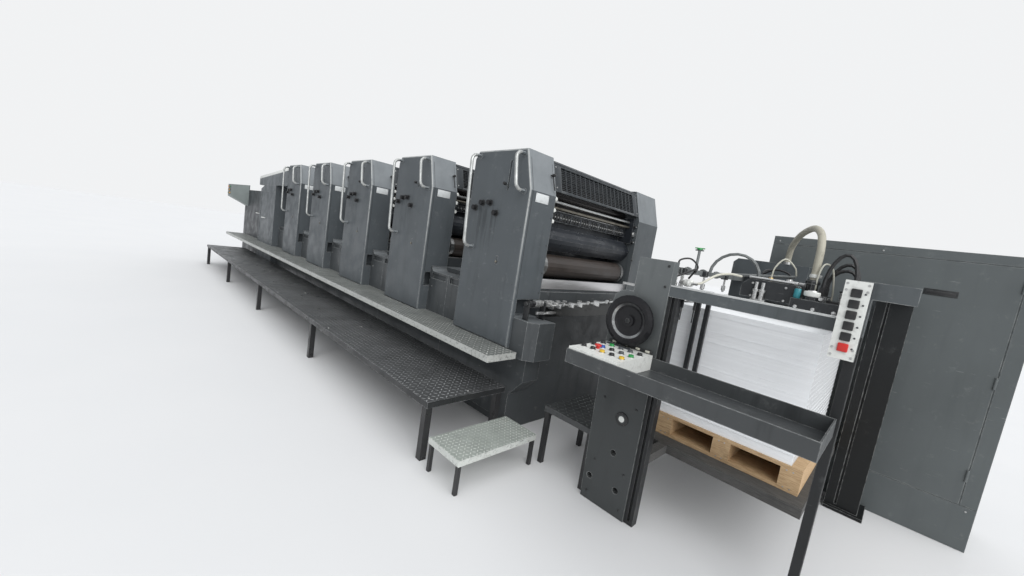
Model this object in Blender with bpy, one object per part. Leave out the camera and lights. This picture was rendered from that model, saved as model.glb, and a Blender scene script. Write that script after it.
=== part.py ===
"""Sheet-fed offset printing press: five printing units, a lower coating module,
a delivery, a pile feeder, its walkways and the electrical cabinet.

Metres, +Z up. +X runs along the press towards the feeder and +Y towards the
drive side. The origin lies on the floor, on the centreline under the middle unit.
"""

import math

import bmesh
import bpy
from mathutils import Matrix, Vector

for old in list(bpy.data.objects):
    bpy.data.objects.remove(old)

# Shared fits and mesh fineness
TOUCH = 0.0003
OVERRUN = 0.02
SINK = 0.006
MIDDLE_SHARE = 0.5
ROUND_SIDES = 24
CYLINDER_SIDES = 20
SMALL_SIDES = 10
KNOB_SIDES = 8
BEND_STEPS = 3
EDGE_STEPS = 2
ARCH_STEPS = 10
SHARP_DEGREES = 35

# Line of units, in plan
UNIT_COUNT = 5
PITCH = 1.20
COVER_WIDTH = 0.64
BASE_HALF = 0.80
COVER_STAND = 0.10
COVER_SEAT = 0.175
DRIVE_STAND = 0.22
COVER_FACE = BASE_HALF + COVER_STAND
COVER_INNER = BASE_HALF - COVER_SEAT
DRIVE_FACE = BASE_HALF + DRIVE_STAND
COVER_ROUND = 0.012

# Bed of a unit, upwards from the floor
BASE_TOP = 1.06
COVER_BOTTOM = 0.65
KICK_HEIGHT = 0.08
KICK_DEPTH = 0.05
SHELF_DROP = 0.045
SHELF_MARGIN = 0.015
SHELF_UPSTAND = 0.02
SHELF_ROUND = 0.04
SHELF_TOP = BASE_TOP - SHELF_DROP
VENT_DROP = 0.015
VENT_HEIGHT = 0.05
VENT_DEPTH = 0.02
VENT_MARGIN = 0.03
SHEET_BAR_RISE = 0.09
SHEET_BAR_SETBACK = 0.025
SHEET_BAR_DEPTH = 0.055
SHEET_BAR_TOP = BASE_TOP + SHEET_BAR_RISE

# Blanket cylinder, over the sheet bar
CYLINDER_RADIUS = 0.092
BEARER_STEP = 0.005
BEARER_RADIUS = CYLINDER_RADIUS + BEARER_STEP
CYLINDER_CLEARANCE = 0.003
CYLINDER_SETBACK = 0.135
CYLINDER_Z = SHEET_BAR_TOP + CYLINDER_CLEARANCE + BEARER_RADIUS
BEARER_WIDTH = 0.035
BEARER_RELIEF = 0.008
JOURNAL_RADIUS = 0.040
JOURNAL_LENGTH = 0.045
GAP_WIDTH = 0.030
GAP_DEPTH = 0.030

# Inking tower, stacked upwards from the cylinder to the cover's top
GUARD_CLEARANCE = 0.023
GUARD_LOW = CYLINDER_Z + BEARER_RADIUS + GUARD_CLEARANCE
GUARD_HEIGHT = 0.18
GUARD_HIGH = GUARD_LOW + GUARD_HEIGHT
GUARD_SETBACK = 0.105
GUARD_BULGE = 0.055
GUARD_STEPS = 6
DUCT_RISE = 0.05
DUCT_LOW = GUARD_HIGH + DUCT_RISE
DUCT_HEIGHT = 0.075
DUCT_TOP = DUCT_LOW + DUCT_HEIGHT
DUCT_SETBACK = 0.120
DUCT_RIB_COUNT = 9
DUCT_RIB_WIDTH = 0.022
DUCT_RIB_DEPTH = 0.012
DUCT_BAR_RADIUS = 0.010
DUCT_BAR_SETBACK = 0.085
DUCT_BAR_RISES = (0.020, 0.065)
ROLLER_COUNT = 3
ROLLER_RADIUS = 0.036
ROLLER_GAP = 0.006
ROLLER_STEPS = 4
ROLLER_PITCH = 2 * ROLLER_RADIUS + ROLLER_GAP
SHOULDER = DUCT_TOP + ROLLER_COUNT * ROLLER_PITCH + ROLLER_GAP
SHOULDER_RISE = 0.125
COVER_TOP = SHOULDER + SHOULDER_RISE
TOWER_SETBACK = 0.170
TOWER_REAR_INSET = 0.020
TOWER_DROP = 0.010
TOWER_LIP_DEPTH = 0.045
TOWER_LIP_GAP = 0.015
WELL_CLEARANCE = 0.028
WELL_STEP = 0.005
CHEEK_THICK = 0.030
CHEEK_SETBACK = 0.035
CHEEK_GAP = 0.020
CHEEK_KNOB_RADIUS = 0.013
CHEEK_KNOB_REACH = 0.018
CHEEK_KNOB_SHARES = (0.15, 0.50, 0.85)

# Hinged mesh guard over the inking rollers, and the cover's lean beside it
MESH_DROP = 0.035
MESH_HEIGHT = 0.205
MESH_HIGH = COVER_TOP - MESH_DROP
MESH_LOW = MESH_HIGH - MESH_HEIGHT
KNEE_STEP = 0.040
KNEE_HEIGHT = MESH_LOW - KNEE_STEP
LEAN = 0.084
SLOPE = LEAN / (COVER_TOP - KNEE_HEIGHT)
MESH_THICK = 0.016
MESH_SETBACK = 0.012
MESH_RIM = 0.020
MESH_SIDE_RIM = 0.080
MESH_BAR = 0.012
MESH_COLUMNS = 9
MESH_ROWS = 2
HINGE_RADIUS = 0.012
GUARD_SIDE_PLAY = 0.006

# Outline, recesses, knobs and grab rails of a cover
TOP_CUT_RUN = 0.04
TOP_CUT_DROP = 0.06
END_NOTCH_HEIGHT = 0.13
END_NOTCH_DEPTH = 0.10
END_NOTCH_SKIN = 0.04
SLOT_WIDTH = 0.014
SLOT_HEIGHT = 0.21
SLOT_DROP = 0.08
SLOT_DEPTH = 0.02
SLOT_SHARE = 0.152
LOCK_SHARES = (0.141, 0.428)
LOCK_WIDTH = 0.022
LOCK_HEIGHT = 0.06
LOCK_DEPTH = 0.004
KNOB_RADIUS = 0.019
KNOB_STAND = 0.034
KNOB_NECK_RADIUS = 0.010
KNOB_NECK = 0.012
KNOB_SHARES = ((-0.359, 0.690), (-0.233, 0.718), (-0.100, 0.721), (0.019, 0.669))
RAIL_RADIUS = 0.0125
RAIL_STAND = 0.085
RAIL_BEND = 0.045
LONG_RAIL_SHARES = ((-0.323, 0.475), (-0.397, 0.971))
SHORT_RAIL_SHARES = ((0.416, 0.788), (0.344, 0.971))
PANEL_MARGIN = 0.06
PANEL_DEPTH = 0.006
LOUVRE_COUNT = 4
LOUVRE_HEIGHT = 0.016
LOUVRE_PITCH = 0.045
LOUVRE_DEPTH = 0.02

# Gearbox and foot at the first unit's feeder end
FEED_BOX_LENGTH = 0.20
FEED_BOX_DROP = 0.05
FEED_BOX_HEIGHT = 0.27
FEED_BOX_SETBACK = 0.03
FEED_BOX_MARGIN = 0.015
FEED_BOX_CUT = 0.06
FEED_BRACKET_LENGTH = 0.12
FEED_BRACKET_LOW = 0.28
FEED_BRACKET_RISE = 0.14

# Lower coating module, its sloped guard and the delivery
LINK_LENGTH = 0.36
MODULE_LENGTH = 0.99
MODULE_TOP = 1.71
MODULE_CUT_RUN = 0.26
MODULE_CUT_DROP = 0.07
MODULE_PANEL_INSET = 0.05
HOOD_DROP = 0.04
HOOD_FALL = 0.13
HOOD_OVERHANG = 0.15
DELIVERY_LENGTH = 1.65
DELIVERY_TOP = 1.60
DELIVERY_STAND = 0.02
DELIVERY_BAY_LENGTH = 0.92
DELIVERY_BAY_HALF = 0.56
DELIVERY_BAY_TOP = 1.08
CONSOLE_LENGTH = 0.30
CONSOLE_REACH = 0.33
CONSOLE_DROP = 0.35
CONSOLE_STAND = 0.10
CONSOLE_CUT = 0.16
CONSOLE_FALL = 0.04

# Ledge, walk platform, entry step and feeder walkway
LEDGE_OVERHANG = 0.11
LEDGE_END_INSET = 0.17
LEDGE_TOP = 0.65
LEDGE_THICK = 0.045
LEDGE_WIDTH = 0.26
PLATFORM_OVERHANG = 0.06
PLATFORM_END_INSET = 0.69
PLATFORM_WIDTH = 0.64
PLATFORM_TOP = 0.385
PLATFORM_LIP = 0.040
PLATFORM_PLATE = 0.012
PLATFORM_LEG = 0.045
PLATFORM_LEG_INSET = 0.02
PLATFORM_SPANS = 4
PLATFORM_STRINGER = 0.05
STEP_GAP = 0.076
STEP_LENGTH = 0.287
STEP_WIDTH = 0.62
STEP_STAND = 0.01
STEP_TOP = 0.205
STEP_LIP = 0.035
STEP_PLATE = 0.006
STEP_LEG = 0.022
STEP_LEG_INSET = 0.004
WALK_LENGTH = 0.37
WALK_SETBACK = 0.03
WALK_WIDTH = 0.47
WALK_TOP = 0.385
WALK_THICK = 0.035
WALK_LEG = 0.03
WALK_LEG_INSET = 0.005

# Pile, upwards from the floor
BOARD_TOP = 0.40
BOARD_THICK = 0.05
BOARD_AHEAD = 0.09
BOARD_CLEARANCE = 0.012
BOARD_SIDE_CLEARANCE = 0.03
BOARD_SHOE = 0.05
PALLET_LENGTH = 0.73
PALLET_HALF = 0.52
PALLET_HEIGHT = 0.13
PALLET_SETBACK = 0.01
PALLET_DECK = 0.018
PALLET_BLOCK = 0.09
PALLET_PLANK_COUNT = 5
PALLET_PLANK_GAP = 0.045
PAPER_LENGTH = 0.71
PAPER_AHEAD = 0.03
PAPER_SIDE_MARGIN = 0.01
PAPER_HEIGHT = 0.66
PILE_TOP = BOARD_TOP + PALLET_HEIGHT + PAPER_HEIGHT + 2 * TOUCH

# Feeder side plates and top frame, set out from the pile's height
FEEDER_GAP = 0.77
PILE_OPENING = 0.75
BEAM_CLEARANCE = 0.0554
BEAM_HEIGHT = 0.058
BEAM_DEPTH = 0.06
BEAM_LOW = PILE_TOP + BEAM_CLEARANCE
BEAM_HIGH = BEAM_LOW + BEAM_HEIGHT
PLATE_LENGTH = 0.30
PLATE_THICK = 0.06
PLATE_FOOT_INSET = 0.02
PLATE_KNEE = 0.70
PLATE_SHOULDER_DROP = 0.011
PLATE_SHOULDER = BEAM_LOW - PLATE_SHOULDER_DROP
PLATE_SHOULDER_RUN = 0.11
PLATE_ROUND = 0.07
PLATE_RISE = 0.118
PLATE_TOP = BEAM_HIGH + PLATE_RISE
DRIVE_PLATE_OUTER = 0.72
RING_SHARES = (0.620, 0.438)
RING_RADIUS = 0.034
RING_STAND = 0.008
PLATE_HOLE_RADIUS = 0.018
PLATE_HOLE_SHARES = ((0.577, 0.273), (0.187, 0.115), (0.753, 0.115))
DRIVE_BOX_LENGTH = 0.50
DRIVE_BOX_RISE = 0.118
DRIVE_BOX_DEPTH = 0.12
DRIVE_BOX_CUT = 0.03

# Guides, hoist chain, posts, rear cross beam and pile stops
GUIDE_DEPTH = 0.05
GUIDE_WIDTH = 0.05
GUIDE_GROOVE = 0.014
CHAIN_SETBACK = 0.045
CHAIN_RADIUS = 0.030
CHAIN_THICK = 0.009
CHAIN_WIDTH = 0.015
CHAIN_LOW = 0.14
CHAIN_DROP = 0.10
CHAIN_STEPS = 5
CHAIN_BRACKET = 0.022
REAR_DEPTH = 0.12
REAR_RISE = 0.151
REAR_HEIGHT = 0.065
REAR_HIGH = BEAM_HIGH + REAR_RISE
REAR_LOW = REAR_HIGH - REAR_HEIGHT
POST_WIDTH = 0.035
POST_DEPTH = 0.045
COLUMN_LENGTH = 0.17
COLUMN_WIDTH = 0.22
FOOT_THICK = 0.02
FOOT_SPREAD = 0.03
TIE_LOW = 0.10
TIE_HEIGHT = 0.10
TIE_THICK = 0.05
STOP_WIDTH = 0.022
STOP_PITCH = 0.052
STOP_AHEAD = 0.02
STOP_DROP = 0.45

# Feed board and its gear between the first unit and the feeder
FEED_DROP = 0.16
FEED_SHOULDER_DROP = 0.105
FEED_HALF = 0.56
FEED_THICK = 0.03
FEED_RAIL = 0.03
FEED_RAIL_HEIGHT = 0.035
FEED_ARM = 0.05
FEED_TAPE_COUNT = 4
FEED_TAPE_WIDTH = 0.05
FEED_TAPE_THICK = 0.004
FEED_SHAFT_RADIUS = 0.012
FEED_SHAFT_RISE = 0.026
FEED_SHAFT_SHARES = (0.55,)
FEED_WHEEL_RADIUS = 0.024
FEED_WHEEL_WIDTH = 0.020

# Forwarding bridge across the feeder's side plates
BRIDGE_SETBACK = 0.05
BRIDGE_DEPTH = 0.04
BRIDGE_HEIGHT = 0.03
BRIDGE_DROP = 0.025
BRIDGE_ROLLER_RADIUS = 0.028
BRIDGE_ROLLER_WIDTH = 0.025
BRIDGE_ROLLER_COUNT = 4
BRIDGE_ARM_WIDTH = 0.018
BRIDGE_ARM_REACH = 0.09
BRIDGE_ARM_THICK = 0.02
BRIDGE_POST_Y = -0.30
BRIDGE_POST_RADIUS = 0.009
BRIDGE_POST_HEIGHT = 0.13
BRIDGE_TAP = 0.025
BRIDGE_ROD_RADIUS = 0.009
BRIDGE_ROD_RUN = 0.46
BRIDGE_ROD_RISE = 0.05
BRIDGE_ROD_Y = 0.05
BRIDGE_HOSE_RADIUS = 0.010
BRIDGE_HOSE_RISE = 0.14
BRIDGE_HOSE_Y = -0.05

# Suction head over the tail of the pile
HEAD_SETBACK = 0.11
HEAD_LENGTH = 0.26
HEAD_HALF = 0.20
HEAD_CLEARANCE = 0.014
SUCKER_DROP = 0.030
SUCKER_RADIUS = 0.014
SUCKER_COUNT = 4
HEAD_LOW = PILE_TOP + HEAD_CLEARANCE + SUCKER_DROP
HEAD_HEIGHT = 0.095
HEAD_TOP = HEAD_LOW + HEAD_HEIGHT
HEAD_BAR_RADIUS = 0.018
HEAD_BAR_INSET = 0.03
HEAD_BAR_Z = (BEAM_LOW + BEAM_HIGH) / 2
FRONT_LENGTH = 0.27
FRONT_LIFT = 0.055
FRONT_RISE = 0.07
FRONT_CUT = 0.04
FRONT_NARROW = 0.05
STEM_RADIUS = 0.030
STEM_RISE = 0.115
STEM_RUN = 0.055
COLLAR_STEP = 0.007
COLLAR_HEIGHT = 0.025
CAP_RADIUS = 0.036
CAP_HEIGHT = 0.030
CAP_PLACE_SHARES = (0.33, -0.80)
PISTON_RADIUS = 0.014
PISTON_HEIGHT = 0.065
PISTON_PLACE_SHARES = (0.08, -0.85)

# Hoses between the suction head and the frame
HOSE_RADIUS = 0.020
HOSE_RISE = 0.32
HOSE_BEND = 0.13
HOSE_SEAT = 0.15
AIR_STRIP = 0.012
AIR_STRIP_GAP = 0.006
AIR_LOW_Y = -0.06
AIR_HIGH_Y = 0.14
AIR_BLOCK = 0.022
AIR_HEAD_HEIGHT = 0.08
AIR_TAIL_HEIGHT = 0.13
AIR_TAIL_INSET = 0.005
AIR_HOSE_RADIUS = 0.0105
AIR_HOSE_SHARES = (0.12, 0.5, 0.88)
AIR_HOSE_RISES = (0.175, 0.09, 0.13)

# Tool tray, control desk, control box and handwheel
TRAY_SETBACK = 0.01
TRAY_WIDTH = 0.37
TRAY_TOP = 0.92
TRAY_LIP = 0.07
TRAY_WALL = 0.006
DESK_LENGTH = 0.27
DESK_RISE = 0.012
BUTTON_RADIUS = 0.011
BUTTON_HEIGHT = 0.010
BUTTON_ROWS = 3
BUTTON_COLUMNS = 5
BOX_SETBACK = 0.004
BOX_WIDTH = 0.077
BOX_DROP = 0.005
BOX_HEIGHT = 0.293
BOX_DEPTH = 0.07
KEY_SIZE = 0.030
KEY_STAND = 0.006
KEY_COUNT = 6
KEY_MARGIN = 0.045
WHEEL_RUN = 0.135
WHEEL_DROP = 0.155
WHEEL_RADIUS = 0.135
WHEEL_RIM = 0.017
WHEEL_DISH = 0.030
WHEEL_STAND = 0.020
WHEEL_HUB = 0.030
WHEEL_HUB_OUT = 0.050

# Electrical cabinet
CABINET_GAP = 0.03
CABINET_LENGTH = 1.32
CABINET_DEPTH = 0.45
CABINET_TOP = 1.75
CABINET_KICK = 0.27
CABINET_SEAM = 0.006
CABINET_SEAM_INSET = 0.075
CABINET_TOP_SEAM_DROP = 0.06
CABINET_SEAM_DEPTH = 0.004
PULL_INSET = 0.385
PULL_DROP = 0.26
PULL_WIDTH = 0.13
PULL_HEIGHT = 0.022
PULL_DEPTH = 0.02

# Paint and material colours
PRESS_GREY = (0.115, 0.130, 0.137)
DARK_GREY = (0.045, 0.049, 0.053)
BLACK = (0.020, 0.020, 0.021)
TREAD_METAL = (0.48, 0.49, 0.47)
STEEL = (0.46, 0.46, 0.45)
RUBBER_BROWN = (0.075, 0.062, 0.055)
PILE_GREY = (0.16, 0.15, 0.14)
WOOD = (0.58, 0.40, 0.22)
PAPER_WHITE = (0.83, 0.84, 0.86)
BOX_WHITE = (0.72, 0.74, 0.70)
HOSE_BEIGE = (0.42, 0.40, 0.33)


def unit_centre(index):
    """Middle of a printing unit along the press; the first is by the feeder."""
    return ((UNIT_COUNT - 1) / 2 - index) * PITCH


# Places along the press, chained from the first unit to the feeder and cabinet
FIRST_FACE = unit_centre(0) + COVER_WIDTH / 2
PLATE_LOW_X = FIRST_FACE + FEEDER_GAP
PLATE_FOOT_X = PLATE_LOW_X + PLATE_FOOT_INSET
PLATE_HIGH_X = PLATE_LOW_X + PLATE_LENGTH
PLATE_SHOULDER_X = PLATE_LOW_X + PLATE_SHOULDER_RUN
PLATE_OUTER = COVER_FACE
PLATE_INNER = PLATE_OUTER - PLATE_THICK
DRIVE_PLATE_INNER = DRIVE_PLATE_OUTER - PLATE_THICK
REAR_X = PLATE_HIGH_X + PILE_OPENING
REAR_END_X = REAR_X + REAR_DEPTH
COLUMN_LOW_X = REAR_END_X - COLUMN_LENGTH
COLUMN_INNER = DRIVE_PLATE_OUTER - COLUMN_WIDTH
HEAD_HIGH_X = REAR_X - HEAD_SETBACK
HEAD_LOW_X = HEAD_HIGH_X - HEAD_LENGTH
STEM_X = HEAD_LOW_X + STEM_RUN
STEM_TOP = HEAD_TOP + STEM_RISE
FRONT_TOP = HEAD_TOP + FRONT_RISE
FRONT_LOW_X = HEAD_LOW_X - FRONT_LENGTH
BOARD_LOW_X = PLATE_HIGH_X - BOARD_AHEAD
BOARD_HIGH_X = COLUMN_LOW_X - BOARD_CLEARANCE
BOARD_HALF = DRIVE_PLATE_INNER - BOARD_SIDE_CLEARANCE
PALLET_LOW_X = BOARD_LOW_X + PALLET_SETBACK
PALLET_HIGH_X = PALLET_LOW_X + PALLET_LENGTH
FEED_END_X = PLATE_LOW_X + PLATE_ROUND
FEED_LOW = BASE_TOP - FEED_DROP
FEED_HIGH = PLATE_SHOULDER - FEED_SHOULDER_DROP
DRIVE_BOX_TOP = PLATE_TOP + DRIVE_BOX_RISE
DRIVE_BOX_HIGH_X = PLATE_SHOULDER_X + DRIVE_BOX_LENGTH
CHAIN_X = PLATE_HIGH_X - CHAIN_SETBACK
CHAIN_HIGH = BEAM_LOW - CHAIN_DROP
BRIDGE_X = PLATE_SHOULDER_X + BRIDGE_SETBACK
BRIDGE_TOP = PLATE_TOP - BRIDGE_DROP
BRIDGE_LOW = BRIDGE_TOP - BRIDGE_HEIGHT
CABINET_LOW_X = PLATE_HIGH_X + CABINET_GAP
CABINET_HIGH_X = CABINET_LOW_X + CABINET_LENGTH

# Places along the press, chained from the last unit to the delivery
LAST_FACE = unit_centre(UNIT_COUNT - 1) - COVER_WIDTH / 2
LAST_BED = unit_centre(UNIT_COUNT - 1) - PITCH / 2
MODULE_HIGH_X = LAST_BED - LINK_LENGTH
MODULE_LOW_X = MODULE_HIGH_X - MODULE_LENGTH
DELIVERY_END_X = MODULE_LOW_X - DELIVERY_LENGTH
DELIVERY_HALF = BASE_HALF + DELIVERY_STAND
LEDGE_OUTER = COVER_FACE + LEDGE_WIDTH
LEDGE_HIGH_X = FIRST_FACE + LEDGE_OVERHANG
LEDGE_LOW_X = DELIVERY_END_X + LEDGE_END_INSET
PLATFORM_OUTER = COVER_FACE + PLATFORM_WIDTH
PLATFORM_HIGH_X = FIRST_FACE + PLATFORM_OVERHANG
PLATFORM_LOW_X = DELIVERY_END_X + PLATFORM_END_INSET
STEP_LOW_X = PLATFORM_HIGH_X + STEP_GAP
STEP_HIGH_X = STEP_LOW_X + STEP_LENGTH
STEP_OUTER = PLATFORM_OUTER + STEP_STAND
STEP_INNER = STEP_OUTER - STEP_WIDTH
FEED_BOX_LOW = COVER_BOTTOM - FEED_BOX_DROP
FEED_BOX_HIGH = FEED_BOX_LOW + FEED_BOX_HEIGHT
FEED_BOX_OUTER = COVER_FACE - FEED_BOX_SETBACK
FEED_BOX_INNER = COVER_INNER + FEED_BOX_MARGIN


def material(name, colour, roughness, metallic):
    """A plain finish, shared by every piece that asks for it."""
    finish = bpy.data.materials.get(name)
    if finish is None:
        finish = bpy.data.materials.new(name)
        finish.use_nodes = True
        shader = finish.node_tree.nodes["Principled BSDF"]
        shader.inputs["Base Color"].default_value = (*colour, 1)
        shader.inputs["Roughness"].default_value = roughness
        shader.inputs["Metallic"].default_value = metallic
    return finish


def press_paint():
    return material("press_paint", PRESS_GREY, 0.45, 0)


def dark_paint():
    return material("dark_paint", DARK_GREY, 0.5, 0)


def black_paint():
    return material("black_paint", BLACK, 0.6, 0)


def tread_plate():
    return material("tread_plate", TREAD_METAL, 0.4, 1)


def bare_steel():
    return material("bare_steel", STEEL, 0.35, 1)


def mesh_object(name, shape):
    """Turn a bmesh into an object at the world's origin."""
    bmesh.ops.recalc_face_normals(shape, faces=shape.faces)
    mesh = bpy.data.meshes.new(name)
    shape.to_mesh(mesh)
    shape.free()
    item = bpy.data.objects.new(name, mesh)
    bpy.context.scene.collection.objects.link(item)
    return item


def block(low, high):
    """A box from its lowest to its highest corner."""
    shape = bmesh.new()
    bmesh.ops.create_cube(shape, size=1)
    size = Vector(high) - Vector(low)
    middle = (Vector(high) + Vector(low)) / 2
    bmesh.ops.scale(shape, vec=size, verts=shape.verts)
    bmesh.ops.translate(shape, vec=middle, verts=shape.verts)
    return mesh_object("block", shape)


def extruded(corners, shift):
    """Extrude a flat outline of points by a shift."""
    shape = bmesh.new()
    face = shape.faces.new([shape.verts.new(corner) for corner in corners])
    grown = bmesh.ops.extrude_face_region(shape, geom=[face])
    moved = [item for item in grown["geom"] if isinstance(item, bmesh.types.BMVert)]
    bmesh.ops.translate(shape, vec=shift, verts=moved)
    return mesh_object("profile", shape)


def side_profile(outline, low_y, high_y):
    """Extrude an outline of (x, z) points from one Y to another."""
    return extruded([(x, low_y, z) for x, z in outline], (0, high_y - low_y, 0))


def plan_profile(outline, low_z, high_z):
    """Extrude an outline of (x, y) points from one height to another."""
    return extruded([(x, y, low_z) for x, y in outline], (0, 0, high_z - low_z))


def end_profile(outline, low_x, high_x):
    """Extrude an outline of (y, z) points from one X to another."""
    return extruded([(low_x, y, z) for y, z in outline], (high_x - low_x, 0, 0))


def arc_points(centre, radius, start, end, steps):
    """Points along an arc in a plane, between two angles in radians."""
    points = []
    for step in range(steps + 1):
        turn = start + (end - start) * step / steps
        points.append((centre[0] + radius * math.cos(turn), centre[1] + radius * math.sin(turn)))
    return points


def rod(start, end, radius, sides=SMALL_SIDES):
    """A round bar between two points."""
    start, end = Vector(start), Vector(end)
    along = end - start
    shape = bmesh.new()
    bmesh.ops.create_cone(shape, cap_ends=True, segments=sides, radius1=radius,
                          radius2=radius, depth=along.length)
    turn = along.to_track_quat("Z", "Y").to_matrix().to_4x4()
    bmesh.ops.transform(shape, matrix=Matrix.Translation((start + end) / 2) @ turn,
                        verts=shape.verts)
    return mesh_object("rod", shape)


def turned(profile, centre, sides=ROUND_SIDES):
    """Spin a closed profile of (radius, y) points about a line along Y."""
    centre = Vector(centre)
    shape = bmesh.new()
    corners = [shape.verts.new(centre + Vector((radius, y, 0))) for radius, y in profile]
    edges = [shape.edges.new(pair) for pair in zip(corners, corners[1:])]
    bmesh.ops.spin(shape, geom=corners + edges, cent=centre, axis=(0, 1, 0),
                   angle=2 * math.pi, steps=sides, use_merge=True)
    bmesh.ops.remove_doubles(shape, verts=shape.verts, dist=TOUCH / 10)
    return mesh_object("turned", shape)


def rounded_route(points, bend):
    """Replace each inner corner of a route by an arc of the bend radius."""
    points = [Vector(point) for point in points]
    route = [points[0]]
    for before, corner, after in zip(points, points[1:], points[2:]):
        back = (before - corner).normalized()
        ahead = (after - corner).normalized()
        half = back.angle(ahead) / 2
        setback = bend / math.tan(half)
        centre = corner + (back + ahead).normalized() * bend / math.sin(half)
        start = corner + back * setback - centre
        end = corner + ahead * setback - centre
        for step in range(BEND_STEPS + 1):
            spoke = start.lerp(end, step / BEND_STEPS)
            route.append(centre + spoke.normalized() * bend)
    route.append(points[-1])
    return route


def arched_route(start, end, rise):
    """Points of an arch that rises over the line between two points."""
    start, end = Vector(start), Vector(end)
    route = []
    for step in range(ARCH_STEPS + 1):
        turn = math.pi * step / ARCH_STEPS
        place = start.lerp(end, (1 - math.cos(turn)) / 2)
        place.z += rise * math.sin(turn)
        route.append(place)
    return route


def tube(points, radius, resolution=2):
    """A round bar or hose along a route, with closed ends."""
    line = bpy.data.curves.new("route", "CURVE")
    line.dimensions = "3D"
    line.bevel_depth = radius
    line.bevel_resolution = resolution
    line.use_fill_caps = True
    spline = line.splines.new("POLY")
    spline.points.add(len(points) - 1)
    for knot, place in zip(spline.points, points):
        knot.co = Vector(place).to_4d()
    source = bpy.data.objects.new("route", line)
    bpy.context.scene.collection.objects.link(source)
    mesh = evaluated(source)
    bpy.data.objects.remove(source)
    shape = bmesh.new()
    shape.from_mesh(mesh)
    bmesh.ops.remove_doubles(shape, verts=shape.verts, dist=TOUCH / 10)
    return mesh_object("tube", shape)


def rounded_face(item, face_y, radius):
    """Round the rim of the face that lies at one Y."""
    shape = bmesh.new()
    shape.from_mesh(item.data)
    rim = [
        edge for edge in shape.edges
        if all(abs(corner.co.y - face_y) < TOUCH for corner in edge.verts)
    ]
    bmesh.ops.bevel(shape, geom=rim, offset=radius, segments=EDGE_STEPS,
                    profile=MIDDLE_SHARE, affect="EDGES", material=-1)
    shape.to_mesh(item.data)
    shape.free()
    return item


def evaluated(item):
    """The mesh of an object with its modifiers applied."""
    bpy.context.view_layer.update()
    graph = bpy.context.evaluated_depsgraph_get()
    return bpy.data.meshes.new_from_object(item.evaluated_get(graph))


def combine(item, others, operation):
    """Apply one Boolean per tool to an object, and remove the tools."""
    for other in others:
        step = item.modifiers.new(operation.title(), "BOOLEAN")
        step.operation = operation
        step.solver = "EXACT"
        step.object = other
    mesh = evaluated(item)
    item.modifiers.clear()
    item.data = mesh
    for other in others:
        bpy.data.objects.remove(other)
    return item


def fuse(item, *others):
    return combine(item, others, "UNION")


def cut(item, *others):
    return combine(item, others, "DIFFERENCE")


def finished(item, name, finish, pivot=None, smooth=False):
    """Name a piece, give it its finish and put its origin on its pivot."""
    item.name = name
    item.data.name = name
    item.data.materials.clear()
    item.data.materials.append(finish)
    if smooth:
        item.data.shade_smooth()
        item.data.set_sharp_from_angle(angle=math.radians(SHARP_DEGREES))
    if pivot is not None:
        item.data.transform(Matrix.Translation(-Vector(pivot)))
        item.location = pivot
    return item


def cover_outline(centre):
    """Side view of a tall cover, with its leaning upper face on the feeder side."""
    half = COVER_WIDTH / 2
    return [
        (centre - half, COVER_BOTTOM + TOUCH),
        (centre + half, COVER_BOTTOM + TOUCH),
        (centre + half, KNEE_HEIGHT),
        (centre + half - LEAN, COVER_TOP),
        (centre - half + TOP_CUT_RUN, COVER_TOP),
        (centre - half, COVER_TOP - TOP_CUT_DROP),
    ]


def cover_place(centre, shares):
    """A place on a cover's face, from its shares of the width and the height."""
    across, upward = shares
    return centre + across * COVER_WIDTH, COVER_BOTTOM + upward * (COVER_TOP - COVER_BOTTOM)


def grab_rail(centre, shares):
    """A bent tube that stands off the cover, its ends sunk into the sheet."""
    seat = -COVER_FACE + SINK
    out = -COVER_FACE - RAIL_STAND
    low_x, low_z = cover_place(centre, shares[0])
    high_x, high_z = cover_place(centre, shares[1])
    route = [
        (low_x, seat, low_z),
        (low_x, out, low_z),
        (high_x, out, high_z),
        (high_x, seat, high_z),
    ]
    return tube(rounded_route(route, RAIL_BEND), RAIL_RADIUS)


def knob(x, z):
    """A turned control knob on the cover's face."""
    profile = [
        (0, SINK),
        (KNOB_NECK_RADIUS, SINK),
        (KNOB_NECK_RADIUS, -KNOB_NECK),
        (KNOB_RADIUS, -KNOB_NECK),
        (KNOB_RADIUS, -KNOB_STAND),
        (0, -KNOB_STAND),
    ]
    return turned(profile, (x, -COVER_FACE, z), KNOB_SIDES)


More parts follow.
